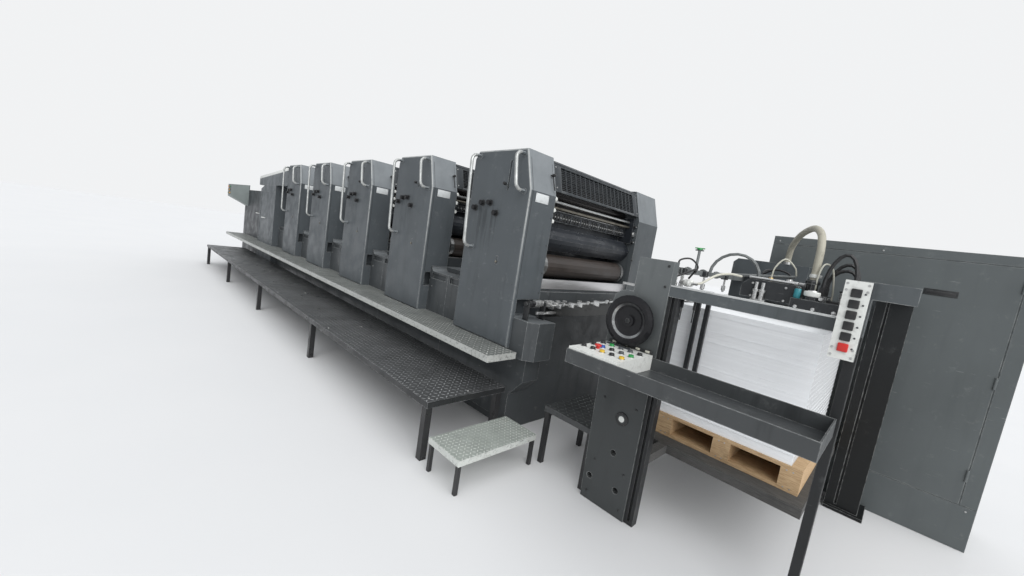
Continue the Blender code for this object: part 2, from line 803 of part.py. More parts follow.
def operator_cover(index):
    """Tall cover on the operator side, with its rails, knobs and recesses."""
    centre = unit_centre(index)
    feeder_edge = centre + COVER_WIDTH / 2
    body = side_profile(cover_outline(centre), -COVER_FACE, -COVER_INNER)
    rounded_face(body, -COVER_FACE, COVER_ROUND)
    notch = block(
        (feeder_edge - END_NOTCH_DEPTH, -COVER_FACE + END_NOTCH_SKIN, FEED_BOX_HIGH),
        (feeder_edge + OVERRUN, -COVER_INNER + OVERRUN, FEED_BOX_HIGH + END_NOTCH_HEIGHT),
    )
    slot_x = centre + SLOT_SHARE * COVER_WIDTH
    slot_high = COVER_TOP - SLOT_DROP
    slot = block(
        (slot_x - SLOT_WIDTH / 2, -COVER_FACE - OVERRUN, slot_high - SLOT_HEIGHT),
        (slot_x + SLOT_WIDTH / 2, -COVER_FACE + SLOT_DEPTH, slot_high),
    )
    lock_x, lock_z = cover_place(centre, LOCK_SHARES)
    lock = block(
        (lock_x - LOCK_WIDTH / 2, -COVER_FACE - OVERRUN, lock_z - LOCK_HEIGHT / 2),
        (lock_x + LOCK_WIDTH / 2, -COVER_FACE + LOCK_DEPTH, lock_z + LOCK_HEIGHT / 2),
    )
    cut(body, notch, slot, lock)
    rails = [grab_rail(centre, shares) for shares in (LONG_RAIL_SHARES, SHORT_RAIL_SHARES)]
    knobs = [knob(*cover_place(centre, shares)) for shares in KNOB_SHARES]
    fuse(body, *rails, *knobs)
    return finished(body, f"unit_{index + 1}_operator_cover", press_paint())


def drive_cover(index):
    """Tall gear-side housing with its service panel and cooling louvres."""
    centre = unit_centre(index)
    half = COVER_WIDTH / 2 - PANEL_MARGIN
    body = side_profile(cover_outline(centre), COVER_INNER, DRIVE_FACE)
    rounded_face(body, DRIVE_FACE, COVER_ROUND)
    louvre_top = KNEE_HEIGHT - PANEL_MARGIN
    panel_top = louvre_top - LOUVRE_COUNT * LOUVRE_PITCH
    tools = [block(
        (centre - half, DRIVE_FACE - PANEL_DEPTH, COVER_BOTTOM + PANEL_MARGIN),
        (centre + half, DRIVE_FACE + OVERRUN, panel_top),
    )]
    for number in range(LOUVRE_COUNT):
        high_z = louvre_top - number * LOUVRE_PITCH
        tools.append(block(
            (centre - half, DRIVE_FACE - LOUVRE_DEPTH, high_z - LOUVRE_HEIGHT),
            (centre + half, DRIVE_FACE + OVERRUN, high_z),
        ))
    cut(body, *tools)
    return finished(body, f"unit_{index + 1}_drive_cover", press_paint())


def base_reach(index):
    """Both ends of a unit's base along X."""
    centre = unit_centre(index)
    low = centre - PITCH / 2 + TOUCH / 2
    high = centre + PITCH / 2 - TOUCH / 2
    if index == 0:
        high = centre + COVER_WIDTH / 2
    return low, high


def cover_pocket(centre, side):
    """The room that a cover takes out of the base on one side."""
    half = COVER_WIDTH / 2 + TOUCH
    inner = (COVER_INNER - TOUCH) * side
    outer = (BASE_HALF + OVERRUN) * side
    return block(
        (centre - half, min(inner, outer), COVER_BOTTOM),
        (centre + half, max(inner, outer), BASE_TOP + OVERRUN),
    )


def shelf_cut(low_x, high_x, side):
    """Lowers the outer zone of a gap between covers, beside the upstand at low_x."""
    inner = (COVER_INNER + SHELF_MARGIN) * side
    outer = (BASE_HALF + OVERRUN) * side
    fillet = (low_x + SHELF_ROUND, SHELF_TOP + SHELF_ROUND)
    outline = [
        (low_x, BASE_TOP + OVERRUN),
        *arc_points(fillet, SHELF_ROUND, math.pi, math.pi * 3 / 2, BEND_STEPS),
        (high_x, SHELF_TOP),
        (high_x, BASE_TOP + OVERRUN),
    ]
    return side_profile(outline, min(inner, outer), max(inner, outer))


def plain_shelf_cut(low_x, high_x, side):
    """Lowers the outer zone of a gap along its whole length."""
    inner = (COVER_INNER + SHELF_MARGIN) * side
    outer = (BASE_HALF + OVERRUN) * side
    return block(
        (low_x, min(inner, outer), SHELF_TOP),
        (high_x, max(inner, outer), BASE_TOP + OVERRUN),
    )


def vent_slot(low_x, high_x):
    """Shallow dark recess under the shelf between two covers."""
    high_z = SHELF_TOP - VENT_DROP
    return block(
        (low_x + VENT_MARGIN, -BASE_HALF - OVERRUN, high_z - VENT_HEIGHT),
        (high_x - VENT_MARGIN, -BASE_HALF + VENT_DEPTH, high_z),
    )


def kick_recess(low_x, high_x, side):
    """Toe recess along the floor."""
    inner = (BASE_HALF - KICK_DEPTH) * side
    outer = (BASE_HALF + OVERRUN) * side
    return block(
        (low_x - OVERRUN, min(inner, outer), -OVERRUN),
        (high_x + OVERRUN, max(inner, outer), KICK_HEIGHT),
    )


def feed_box():
    """Chamfered gearbox in front of the first cover's feeder end."""
    near_x = FIRST_FACE + TOUCH
    high_x = FIRST_FACE + FEED_BOX_LENGTH
    outline = [
        (near_x, -FEED_BOX_OUTER),
        (high_x - FEED_BOX_CUT, -FEED_BOX_OUTER),
        (high_x, -FEED_BOX_OUTER + FEED_BOX_CUT),
        (high_x, -FEED_BOX_INNER),
        (near_x, -FEED_BOX_INNER),
    ]
    return plan_profile(outline, FEED_BOX_LOW, FEED_BOX_HIGH)


def feed_bracket():
    """Tapered foot of the bed that carries the gearbox."""
    start = FIRST_FACE - SINK
    end = FIRST_FACE + FEED_BRACKET_LENGTH
    top = COVER_BOTTOM - TOUCH
    outline = [
        (start, FEED_BRACKET_LOW),
        (end, FEED_BRACKET_LOW + FEED_BRACKET_RISE),
        (end, top),
        (start, top),
    ]
    return side_profile(outline, -BASE_HALF, -FEED_BOX_INNER)


def sheet_bar(centre):
    """Guard bar that rises from the bed across the unit, under the cylinder."""
    half = COVER_INNER - TOUCH
    high_x = centre + COVER_WIDTH / 2 - SHEET_BAR_SETBACK
    return block(
        (high_x - SHEET_BAR_DEPTH, -half, BASE_TOP - SINK),
        (high_x, half, SHEET_BAR_TOP),
    )


def unit_base(index):
    """Lower machine bed of a unit with the closed sheet-transfer housing."""
    centre = unit_centre(index)
    low_x, high_x = base_reach(index)
    far_edge = centre - COVER_WIDTH / 2
    feeder_edge = centre + COVER_WIDTH / 2
    body = block((low_x, -BASE_HALF, 0), (high_x, BASE_HALF, BASE_TOP))
    tools = [vent_slot(low_x, far_edge)]
    for side in (-1, 1):
        tools.append(cover_pocket(centre, side))
        tools.append(kick_recess(low_x, high_x, side))
        tools.append(plain_shelf_cut(low_x - OVERRUN, far_edge, side))
        if index > 0:
            tools.append(shelf_cut(feeder_edge + SHELF_UPSTAND, high_x + OVERRUN, side))
    if index > 0:
        tools.append(vent_slot(feeder_edge, high_x))
    cut(body, *tools)
    fuse(body, sheet_bar(centre))
    if index == 0:
        fuse(body, feed_bracket(), feed_box())
    return finished(body, f"unit_{index + 1}_base", dark_paint())


def cylinder_x(index):
    """Axis of a unit's blanket cylinder along the press."""
    return unit_centre(index) + COVER_WIDTH / 2 - CYLINDER_SETBACK


def guard_curve(nose_x):
    """Bulged outline of the plate guard, from its lower to its upper edge."""
    points = []
    for step in range(GUARD_STEPS + 1):
        share = step / GUARD_STEPS
        bulge = GUARD_BULGE * math.sin(math.pi * share)
        points.append((nose_x + bulge, GUARD_LOW + GUARD_HEIGHT * share))
    return points


def roller_curve(face_x):
    """Half-round outlines of the inking rollers, from the lowest to the highest."""
    points = []
    for number in range(ROLLER_COUNT):
        low_z = DUCT_TOP + ROLLER_GAP + number * ROLLER_PITCH
        centre = (face_x, low_z + ROLLER_RADIUS)
        points += arc_points(centre, ROLLER_RADIUS, -math.pi / 2, math.pi / 2, ROLLER_STEPS)
    return points


def duct_rib(x, y):
    """One ink key housing on the face of the ink duct."""
    return block(
        (x - SINK, y - DUCT_RIB_WIDTH / 2, DUCT_LOW + DUCT_RIB_DEPTH),
        (x + DUCT_RIB_DEPTH, y + DUCT_RIB_WIDTH / 2, DUCT_TOP - DUCT_RIB_DEPTH),
    )


def tower_cheek(low_x, high_x, side):
    """Side wall that carries the bars in front of the ink duct."""
    inner = (COVER_INNER - CHEEK_THICK) * side
    outer = (COVER_INNER - 2 * TOUCH) * side
    return block(
        (low_x - SINK, min(inner, outer), GUARD_HIGH - SINK),
        (high_x, max(inner, outer), MESH_LOW - CHEEK_GAP),
    )


def cheek_knobs(x):
    """Setting knobs on the front edge of the operator side wall."""
    y = -COVER_INNER + CHEEK_THICK / 2
    height = MESH_LOW - CHEEK_GAP - GUARD_HIGH
    return [
        rod((x - SINK, y, GUARD_HIGH + share * height),
            (x + CHEEK_KNOB_REACH, y, GUARD_HIGH + share * height),
            CHEEK_KNOB_RADIUS, KNOB_SIDES)
        for share in CHEEK_KNOB_SHARES
    ]


def inking_tower(index):
    """Closed core between the covers: plate guard, ink duct and inking rollers."""
    edge = unit_centre(index) + COVER_WIDTH / 2
    rear = unit_centre(index) - COVER_WIDTH / 2 + TOWER_REAR_INSET
    well = cylinder_x(index) - BEARER_RADIUS - WELL_CLEARANCE
    face = edge - TOWER_SETBACK
    duct = edge - DUCT_SETBACK
    lip = hinge_point(index)[0] - HINGE_RADIUS - TOWER_LIP_GAP
    top = COVER_TOP - TOWER_DROP
    half = COVER_INNER - TOUCH
    outline = [
        (rear, BASE_TOP + TOUCH),
        (well, BASE_TOP + TOUCH),
        (well, GUARD_LOW - WELL_STEP),
        *guard_curve(edge - GUARD_SETBACK),
        (face, GUARD_HIGH),
        (face, DUCT_LOW),
        (duct, DUCT_LOW),
        (duct, DUCT_TOP),
        (face, DUCT_TOP),
        *roller_curve(face),
        (face, SHOULDER),
        (lip, top - TOWER_LIP_DEPTH),
        (lip, top),
        (rear + TOP_CUT_RUN, top),
        (rear, top - TOP_CUT_DROP),
    ]
    body = side_profile(outline, -half, half)
    rib_half = half - CHEEK_THICK
    spacing = 2 * rib_half / DUCT_RIB_COUNT
    parts = [
        duct_rib(duct, -rib_half + (number + MIDDLE_SHARE) * spacing)
        for number in range(DUCT_RIB_COUNT)
    ]
    parts += [tower_cheek(face, edge - CHEEK_SETBACK, side) for side in (-1, 1)]
    for rise in DUCT_BAR_RISES:
        place = (edge - DUCT_BAR_SETBACK, DUCT_TOP + rise)
        parts.append(rod((place[0], -rib_half - SINK, place[1]),
                         (place[0], rib_half + SINK, place[1]), DUCT_BAR_RADIUS, KNOB_SIDES))
    fuse(body, *parts, *cheek_knobs(edge - CHEEK_SETBACK))
    return finished(body, f"unit_{index + 1}_inking_tower", press_paint())


def hinge_point(index):
    """Middle of the mesh guard's hinge line, at the top of the leaning face."""
    edge = unit_centre(index) + COVER_WIDTH / 2
    return edge - (MESH_HIGH - KNEE_HEIGHT) * SLOPE - MESH_SETBACK, MESH_HIGH


def mesh_guard(index):
    """Hinged guard of the inking rollers: a rim with crossing bars."""
    hinge_x, hinge_z = hinge_point(index)
    half = COVER_INNER - GUARD_SIDE_PLAY
    lean = math.atan(SLOPE)
    length = MESH_HEIGHT / math.cos(lean)
    body = block((-MESH_THICK / 2, -half, -length), (MESH_THICK / 2, half, 0))
    width = 2 * (half - MESH_SIDE_RIM) - (MESH_COLUMNS - 1) * MESH_BAR
    height = length - 2 * MESH_RIM - (MESH_ROWS - 1) * MESH_BAR
    windows = []
    for column in range(MESH_COLUMNS):
        for row in range(MESH_ROWS):
            low_y = -half + MESH_SIDE_RIM + column * (width / MESH_COLUMNS + MESH_BAR)
            low_z = -length + MESH_RIM + row * (height / MESH_ROWS + MESH_BAR)
            windows.append(block(
                (-MESH_THICK, low_y, low_z),
                (MESH_THICK, low_y + width / MESH_COLUMNS, low_z + height / MESH_ROWS),
            ))
    cut(body, *windows)
    hinge_half = COVER_INNER - TOUCH
    fuse(body, rod((0, -hinge_half, 0), (0, hinge_half, 0), HINGE_RADIUS))
    body.data.transform(Matrix.Rotation(-lean, 4, "Y"))
    body.data.transform(Matrix.Translation((hinge_x, 0, hinge_z)))
    return finished(body, f"unit_{index + 1}_ink_guard", black_paint(), (hinge_x, 0, hinge_z))


def blanket_cylinder(index):
    """Cylinder with bearer rings, journals and the gap that holds its blanket."""
    centre = (cylinder_x(index), 0, CYLINDER_Z)
    half = COVER_INNER - TOUCH
    bearer = half - JOURNAL_LENGTH
    drum = bearer - BEARER_WIDTH
    relief = BEARER_RADIUS - 2 * BEARER_RELIEF
    right = [
        (CYLINDER_RADIUS, drum - BEARER_RELIEF),
        (relief, drum - BEARER_RELIEF),
        (relief, drum),
        (BEARER_RADIUS, drum),
        (BEARER_RADIUS, bearer),
        (JOURNAL_RADIUS, bearer),
        (JOURNAL_RADIUS, half),
        (0, half),
    ]
    left = [(radius, -y) for radius, y in reversed(right)]
    body = turned(left + right, centre, CYLINDER_SIDES)
    top = CYLINDER_Z + CYLINDER_RADIUS
    gap = block(
        (centre[0] - GAP_WIDTH / 2, -drum + BEARER_WIDTH, top - GAP_DEPTH),
        (centre[0] + GAP_WIDTH / 2, drum - BEARER_WIDTH, top + OVERRUN),
    )
    cut(body, gap)
    name = f"unit_{index + 1}_blanket_cylinder"
    return finished(body, name, material("blanket", RUBBER_BROWN, 0.4, 0), centre, True)


def coating_module():
    """Lower sixth tower, cut down on its delivery side."""
    outline = [
        (MODULE_LOW_X, 0),
        (MODULE_HIGH_X, 0),
        (MODULE_HIGH_X, MODULE_TOP),
        (MODULE_LOW_X + MODULE_CUT_RUN, MODULE_TOP),
        (MODULE_LOW_X, MODULE_TOP - MODULE_CUT_DROP),
    ]
    body = side_profile(outline, -COVER_FACE, DRIVE_FACE)
    panels = [
        block(
            (MODULE_LOW_X + MODULE_PANEL_INSET, low_y, COVER_BOTTOM + MODULE_PANEL_INSET),
            (MODULE_HIGH_X - MODULE_PANEL_INSET, high_y,
             MODULE_TOP - MODULE_CUT_DROP - MODULE_PANEL_INSET),
        )
        for low_y, high_y in (
            (-COVER_FACE - OVERRUN, -COVER_FACE + PANEL_DEPTH),
            (DRIVE_FACE - PANEL_DEPTH, DRIVE_FACE + OVERRUN),
        )
    ]
    cut(body, *panels)
    return finished(body, "coating_module", press_paint())


def module_link():
    """Low housing between the last printing unit and the coating module."""
    low_x = MODULE_HIGH_X + TOUCH
    high_x = base_reach(UNIT_COUNT - 1)[0] - TOUCH
    body = block((low_x, -BASE_HALF, 0), (high_x, BASE_HALF, BASE_TOP))
    tools = [vent_slot(low_x, high_x)]
    for side in (-1, 1):
        tools.append(kick_recess(low_x, high_x, side))
        tools.append(plain_shelf_cut(low_x - OVERRUN, high_x + OVERRUN, side))
    cut(body, *tools)
    return finished(body, "module_link", dark_paint())


def console():
    """Wedge-shaped control console on the delivery's operator side."""
    seat = -DELIVERY_HALF + SINK
    outer = -DELIVERY_HALF - CONSOLE_REACH
    low_z = DELIVERY_TOP - CONSOLE_DROP
    high_z = DELIVERY_TOP + CONSOLE_STAND
    outline = [
        (seat, low_z),
        (outer, low_z + CONSOLE_CUT),
        (outer, high_z - CONSOLE_FALL),
        (seat, high_z),
    ]
    low_x = DELIVERY_END_X + SINK
    return end_profile(outline, low_x, low_x + CONSOLE_LENGTH)


def delivery_frame():
    """Delivery body with its open pile bay and console at the far end."""
    high_x = MODULE_LOW_X - TOUCH
    body = block((DELIVERY_END_X, -DELIVERY_HALF, 0), (high_x, DELIVERY_HALF, DELIVERY_TOP))
    bay = block(
        (DELIVERY_END_X - OVERRUN, -DELIVERY_BAY_HALF, -OVERRUN),
        (DELIVERY_END_X + DELIVERY_BAY_LENGTH, DELIVERY_BAY_HALF, DELIVERY_BAY_TOP),
    )
    cut(body, bay)
    fuse(body, console())
    return finished(body, "delivery_frame", dark_paint())


def delivery_hood():
    """Sloped guard from the last unit over the module towards the delivery."""
    high_x = LAST_FACE - TOUCH
    low_x = MODULE_LOW_X - HOOD_OVERHANG
    low_z = MODULE_TOP + TOUCH
    high_z = COVER_TOP - HOOD_DROP
    outline = [(low_x, low_z), (high_x, low_z), (high_x, high_z), (low_x, high_z - HOOD_FALL)]
    body = side_profile(outline, -COVER_FACE, COVER_FACE)
    return finished(body, "delivery_hood", press_paint())


def ledge():
    """Tread-plate ledge along the covers, with tongues in the gaps between them."""
    face = -COVER_FACE - TOUCH
    back = -BASE_HALF - TOUCH
    delivery_back = -DELIVERY_HALF - TOUCH
    outline = [
        (LEDGE_HIGH_X, -LEDGE_OUTER),
        (LEDGE_LOW_X, -LEDGE_OUTER),
        (LEDGE_LOW_X, delivery_back),
        (MODULE_LOW_X - TOUCH, delivery_back),
        (MODULE_LOW_X - TOUCH, face),
        (MODULE_HIGH_X + TOUCH, face),
        (MODULE_HIGH_X + TOUCH, back),
    ]
    for index in reversed(range(UNIT_COUNT)):
        centre = unit_centre(index)
        half = COVER_WIDTH / 2 + TOUCH
        outline += [(centre - half, back), (centre - half, face), (centre + half, face)]
        if index > 0:
            outline.append((centre + half, back))
    outline.append((LEDGE_HIGH_X, face))
    body = plan_profile(outline, LEDGE_TOP - LEDGE_THICK, LEDGE_TOP)
    return finished(body, "ledge", tread_plate())


def platform_legs():
    """Leg positions along the walk platform."""
    low = PLATFORM_LOW_X + PLATFORM_LEG_INSET
    span = (PLATFORM_HIGH_X - PLATFORM_LEG_INSET - PLATFORM_LEG - low) / PLATFORM_SPANS
    return [low + number * span for number in range(PLATFORM_SPANS + 1)]


def walk_platform():
    """Checker-plate platform on legs, folded down along its front edge."""
    outer = -PLATFORM_OUTER
    inner = -COVER_FACE - TOUCH
    low_z = PLATFORM_TOP - PLATFORM_LIP
    body = block((PLATFORM_LOW_X, outer, low_z), (PLATFORM_HIGH_X, inner, PLATFORM_TOP))
    hollow = block(
        (PLATFORM_LOW_X + PLATFORM_STRINGER, outer + PLATFORM_STRINGER, low_z - OVERRUN),
        (PLATFORM_HIGH_X - PLATFORM_STRINGER, inner - PLATFORM_STRINGER,
         PLATFORM_TOP - PLATFORM_PLATE),
    )
    cut(body, hollow)
    legs = []
    high_z = PLATFORM_TOP - PLATFORM_PLATE / 2
    inset = PLATFORM_LEG_INSET / 2
    for x in platform_legs():
        for y in (outer + inset, inner - PLATFORM_LEG - inset):
            legs.append(block((x, y, 0), (x + PLATFORM_LEG, y + PLATFORM_LEG, high_z)))
    fuse(body, *legs)
    return finished(body, "walk_platform", black_paint())


def entry_step():
    """Low tread-plate step on four black legs at the platform's end."""
    low_z = STEP_TOP - STEP_LIP
    body = block((STEP_LOW_X, -STEP_OUTER, low_z), (STEP_HIGH_X, -STEP_INNER, STEP_TOP))
    hollow = block(
        (STEP_LOW_X + STEP_PLATE, -STEP_OUTER + STEP_PLATE, low_z - OVERRUN),
        (STEP_HIGH_X - STEP_PLATE, -STEP_INNER - STEP_PLATE, STEP_TOP - STEP_PLATE),
    )
    cut(body, hollow)
    legs = []
    high_z = STEP_TOP - STEP_PLATE / 2
    for x in (STEP_LOW_X + STEP_LEG_INSET, STEP_HIGH_X - STEP_LEG_INSET - STEP_LEG):
        for y in (-STEP_OUTER + STEP_LEG_INSET, -STEP_INNER - STEP_LEG_INSET - STEP_LEG):
            legs.append(block((x, y, 0), (x + STEP_LEG, y + STEP_LEG, high_z)))
    fuse(body, *legs)
    return finished(body, "entry_step", tread_plate())


def feeder_walkway():
    """Checker-plate walkway between the first unit and the feeder."""
    rise = WALK_TOP / PLATE_KNEE
    high_x = PLATE_FOOT_X + (PLATE_LOW_X - PLATE_FOOT_X) * rise - TOUCH
    low_x = high_x - WALK_LENGTH
    near = -COVER_FACE + WALK_SETBACK
    far = near + WALK_WIDTH
    body = block((low_x, near, WALK_TOP - WALK_THICK), (high_x, far, WALK_TOP))
    legs = []
    high_z = WALK_TOP - WALK_THICK / 2
    for x in (low_x + WALK_LEG_INSET, high_x - WALK_LEG_INSET - WALK_LEG):
        for y in (near + WALK_LEG_INSET, far - WALK_LEG_INSET - WALK_LEG):
            legs.append(block((x, y, 0), (x + WALK_LEG, y + WALK_LEG, high_z)))
    fuse(body, *legs)
    return finished(body, "feeder_walkway", black_paint())


def side_plate_outline():
    """Outline of a feeder side plate with its rounded shoulder."""
    fillet = (PLATE_LOW_X + PLATE_ROUND, PLATE_SHOULDER - PLATE_ROUND)
    return [
        (PLATE_FOOT_X, 0),
        (PLATE_HIGH_X, 0),
        (PLATE_HIGH_X, PLATE_TOP),
        (PLATE_SHOULDER_X, PLATE_TOP),
        (PLATE_SHOULDER_X, PLATE_SHOULDER),
        *arc_points(fillet, PLATE_ROUND, math.pi / 2, math.pi, BEND_STEPS),
        (PLATE_LOW_X, PLATE_KNEE),
    ]


def plate_place(shares):
    """A place on a side plate, from its shares of the length and the height."""
    across, upward = shares
    return PLATE_LOW_X + across * PLATE_LENGTH, upward * PLATE_SHOULDER


def feeder_operator_side():
    """Operator side plate with its ringed bore and fixing holes."""
    body = side_profile(side_plate_outline(), -PLATE_OUTER, -PLATE_INNER)
    holes = []
    for shares in PLATE_HOLE_SHARES:
        x, z = plate_place(shares)
        holes.append(rod((x, -PLATE_OUTER - OVERRUN, z), (x, -PLATE_INNER + OVERRUN, z),
                         PLATE_HOLE_RADIUS))
    cut(body, *holes)
    x, z = plate_place(RING_SHARES)
    ring = rod((x, -PLATE_OUTER - RING_STAND, z), (x, -PLATE_OUTER + SINK, z), RING_RADIUS)
    fuse(body, ring)
    return finished(body, "feeder_operator_side", press_paint())


def feeder_drive_side():
    """Drive side plate of the feeder, with the cover of its drive on top."""
    body = side_profile(side_plate_outline(), DRIVE_PLATE_INNER, DRIVE_PLATE_OUTER)
    outline = [
        (PLATE_SHOULDER_X + SINK, PLATE_TOP - SINK),
        (PLATE_HIGH_X - SINK, PLATE_TOP - SINK),
        (PLATE_HIGH_X - SINK, BEAM_HIGH + TOUCH),
        (DRIVE_BOX_HIGH_X, BEAM_HIGH + TOUCH),
        (DRIVE_BOX_HIGH_X, DRIVE_BOX_TOP),
        (PLATE_SHOULDER_X + SINK + DRIVE_BOX_CUT, DRIVE_BOX_TOP),
        (PLATE_SHOULDER_X + SINK, DRIVE_BOX_TOP - DRIVE_BOX_CUT),
    ]
    low_y = DRIVE_PLATE_OUTER - DRIVE_BOX_DEPTH
    fuse(body, side_profile(outline, low_y, DRIVE_PLATE_OUTER - TOUCH))
    return finished(body, "feeder_drive_side", press_paint())


def feeder_tie():
    """Cross tie between the two side plates, near the floor."""
    body = block(
        (PLATE_FOOT_X + TIE_THICK, -PLATE_INNER + TOUCH, TIE_LOW),
        (PLATE_FOOT_X + 2 * TIE_THICK, DRIVE_PLATE_INNER - TOUCH, TIE_LOW + TIE_HEIGHT),
    )
    return finished(body, "feeder_tie", dark_paint())


def guide_rail(low_y):
    """Grooved upright that the pile board's shoes run on."""
    low_x = PLATE_HIGH_X + TOUCH
    top = BEAM_LOW - TOUCH
    body = block((low_x, low_y, 0), (low_x + GUIDE_WIDTH, low_y + GUIDE_DEPTH, top))
    groove_x = low_x + GUIDE_WIDTH / 2
    groove = block(
        (groove_x - GUIDE_GROOVE / 2, low_y - OVERRUN, OVERRUN),
        (groove_x + GUIDE_GROOVE / 2, low_y + GUIDE_GROOVE, top + OVERRUN),
    )
    return cut(body, groove)


def chain_outline(radius):
    """Outline of the hoist chain's loop at a distance from its sprockets' axes."""
    upper = arc_points((CHAIN_X, CHAIN_HIGH), radius, 0, math.pi, CHAIN_STEPS)
    lower = arc_points((CHAIN_X, CHAIN_LOW), radius, math.pi, 2 * math.pi, CHAIN_STEPS)
    return upper + lower


def hoist_chain():
    """Chain loop of the pile hoist on its two sprockets."""
    low_y = -PLATE_INNER + 2 * TOUCH
    high_y = low_y + CHAIN_WIDTH
    body = side_profile(chain_outline(CHAIN_RADIUS + CHAIN_THICK / 2), low_y, high_y)
    inner = chain_outline(CHAIN_RADIUS - CHAIN_THICK / 2)
    cut(body, side_profile(inner, low_y - OVERRUN, high_y + OVERRUN))
    sprockets = [
        rod((CHAIN_X, low_y - TOUCH, z), (CHAIN_X, high_y + TOUCH, z), CHAIN_RADIUS)
        for z in (CHAIN_LOW, CHAIN_HIGH)
    ]
    return fuse(body, *sprockets)


def guide_operator():
    """Guide on the operator side, with the hoist chain beside it."""
    body = guide_rail(-PLATE_INNER - GUIDE_DEPTH)
    low_y = -PLATE_INNER + TOUCH / 2
    root = PLATE_HIGH_X + 2 * TOUCH
    bracket = [
        (CHAIN_X, low_y),
        (root, low_y),
        (root, -PLATE_INNER - SINK),
        (root + SINK, -PLATE_INNER - SINK),
        (root + SINK, low_y + SINK),
        (CHAIN_X, low_y + SINK),
    ]
    mount = plan_profile(bracket, CHAIN_HIGH - CHAIN_BRACKET / 2, CHAIN_HIGH + CHAIN_BRACKET / 2)
    fuse(body, mount, hoist_chain())
    return finished(body, "pile_guide_operator", black_paint())


def guide_drive():
    """Guide on the drive side."""
    body = guide_rail(DRIVE_PLATE_OUTER - GUIDE_DEPTH)
    return finished(body, "pile_guide_drive", black_paint())


def rear_post():
    """Thin rear post on the operator side with a small foot."""
    low_x = REAR_X - POST_WIDTH
    inner = -PLATE_OUTER + POST_DEPTH
    body = block((low_x, -PLATE_OUTER, 0), (REAR_X, inner, BEAM_LOW - TOUCH))
    foot = block(
        (low_x - FOOT_SPREAD, -PLATE_OUTER, 0),
        (REAR_X + FOOT_SPREAD, inner + FOOT_SPREAD, FOOT_THICK),
    )
    fuse(body, foot)
    return finished(body, "rear_post_operator", dark_paint())


def rear_column():
    """Wide rear column on the drive side, with the hoist's groove."""
    outer = DRIVE_PLATE_OUTER
    top = REAR_LOW - TOUCH
    body = block((COLUMN_LOW_X, COLUMN_INNER, 0), (REAR_END_X, outer, top))
    foot = block(
        (COLUMN_LOW_X - TOUCH, COLUMN_INNER - FOOT_SPREAD, 0),
        (REAR_END_X + FOOT_SPREAD, outer, FOOT_THICK),
    )
    groove_x = COLUMN_LOW_X + GUIDE_WIDTH
    groove = block(
        (groove_x, COLUMN_INNER - OVERRUN, FOOT_THICK + OVERRUN),
        (groove_x + GUIDE_GROOVE, COLUMN_INNER + GUIDE_GROOVE, top + OVERRUN),
    )
    cut(body, groove)
    fuse(body, foot)
    return finished(body, "rear_column_drive", dark_paint())


def pile_stops(side):
    """Bars that hold one side of the pile, on an arm from the beam."""
    beam_inner = PLATE_OUTER - BEAM_DEPTH
    if side > 0:
        beam_inner = DRIVE_PLATE_OUTER - BEAM_DEPTH
    inner = PALLET_HALF + STOP_WIDTH
    low_x = PLATE_HIGH_X + STOP_AHEAD
    high_x = low_x + STOP_PITCH + STOP_WIDTH
    high_z = BEAM_HIGH - STOP_WIDTH / 2
    ends = sorted((inner * side, (beam_inner + SINK) * side))
    parts = [block((low_x, ends[0], high_z - STOP_WIDTH), (high_x, ends[1], high_z))]
    for x in (low_x + TOUCH, high_x - STOP_WIDTH - TOUCH):
        sides = sorted(((inner + TOUCH) * side, (inner + STOP_WIDTH) * side))
        parts.append(block((x, sides[0], BEAM_LOW - STOP_DROP),
                           (x + STOP_WIDTH, sides[1], high_z - SINK)))
    return parts


def top_frame():
    """Side beams with their pile stops, and the rear cross beam of the suction head."""
    low_x = PLATE_HIGH_X + TOUCH
    far_low = DRIVE_PLATE_OUTER - BEAM_DEPTH
    near_inner = -PLATE_OUTER + BEAM_DEPTH
    post_x = COLUMN_LOW_X - TOUCH
    near = block((low_x, -PLATE_OUTER, BEAM_LOW), (REAR_X, near_inner, BEAM_HIGH))
    far = block((low_x, far_low, BEAM_LOW), (post_x, DRIVE_PLATE_OUTER, BEAM_HIGH))
    cross = block((REAR_X - SINK, -PLATE_OUTER, REAR_LOW),
                  (REAR_END_X, DRIVE_PLATE_OUTER, REAR_HIGH))
    near_riser = block((REAR_X - POST_WIDTH, -PLATE_OUTER, BEAM_LOW),
                       (REAR_X, near_inner, REAR_HIGH))
    far_riser = block((post_x - POST_WIDTH, far_low, BEAM_LOW),
                      (post_x, DRIVE_PLATE_OUTER, REAR_HIGH))
    far_link = block((post_x - POST_WIDTH, far_low, REAR_LOW),
                     (REAR_X, DRIVE_PLATE_OUTER, REAR_HIGH))
    fuse(near, near_riser, cross, far_riser, far, far_link, *pile_stops(-1), *pile_stops(1))
    return finished(near, "feeder_top_frame", press_paint())


def pile_board():
    """Planked pile board with a shoe that runs on the guide."""
    low_z = BOARD_TOP - BOARD_THICK
    body = block((BOARD_LOW_X, -BOARD_HALF, low_z), (BOARD_HIGH_X, BOARD_HALF, BOARD_TOP))
    guide_x = PLATE_HIGH_X + TOUCH + GUIDE_WIDTH / 2
    shoe = block(
        (guide_x - BOARD_SHOE / 2, -PLATE_INNER + TOUCH, low_z),
        (guide_x + BOARD_SHOE / 2, -BOARD_HALF + SINK, BOARD_TOP),
    )
    fuse(body, shoe)
    return finished(body, "pile_board", material("pile_wood", PILE_GREY, 0.8, 0))


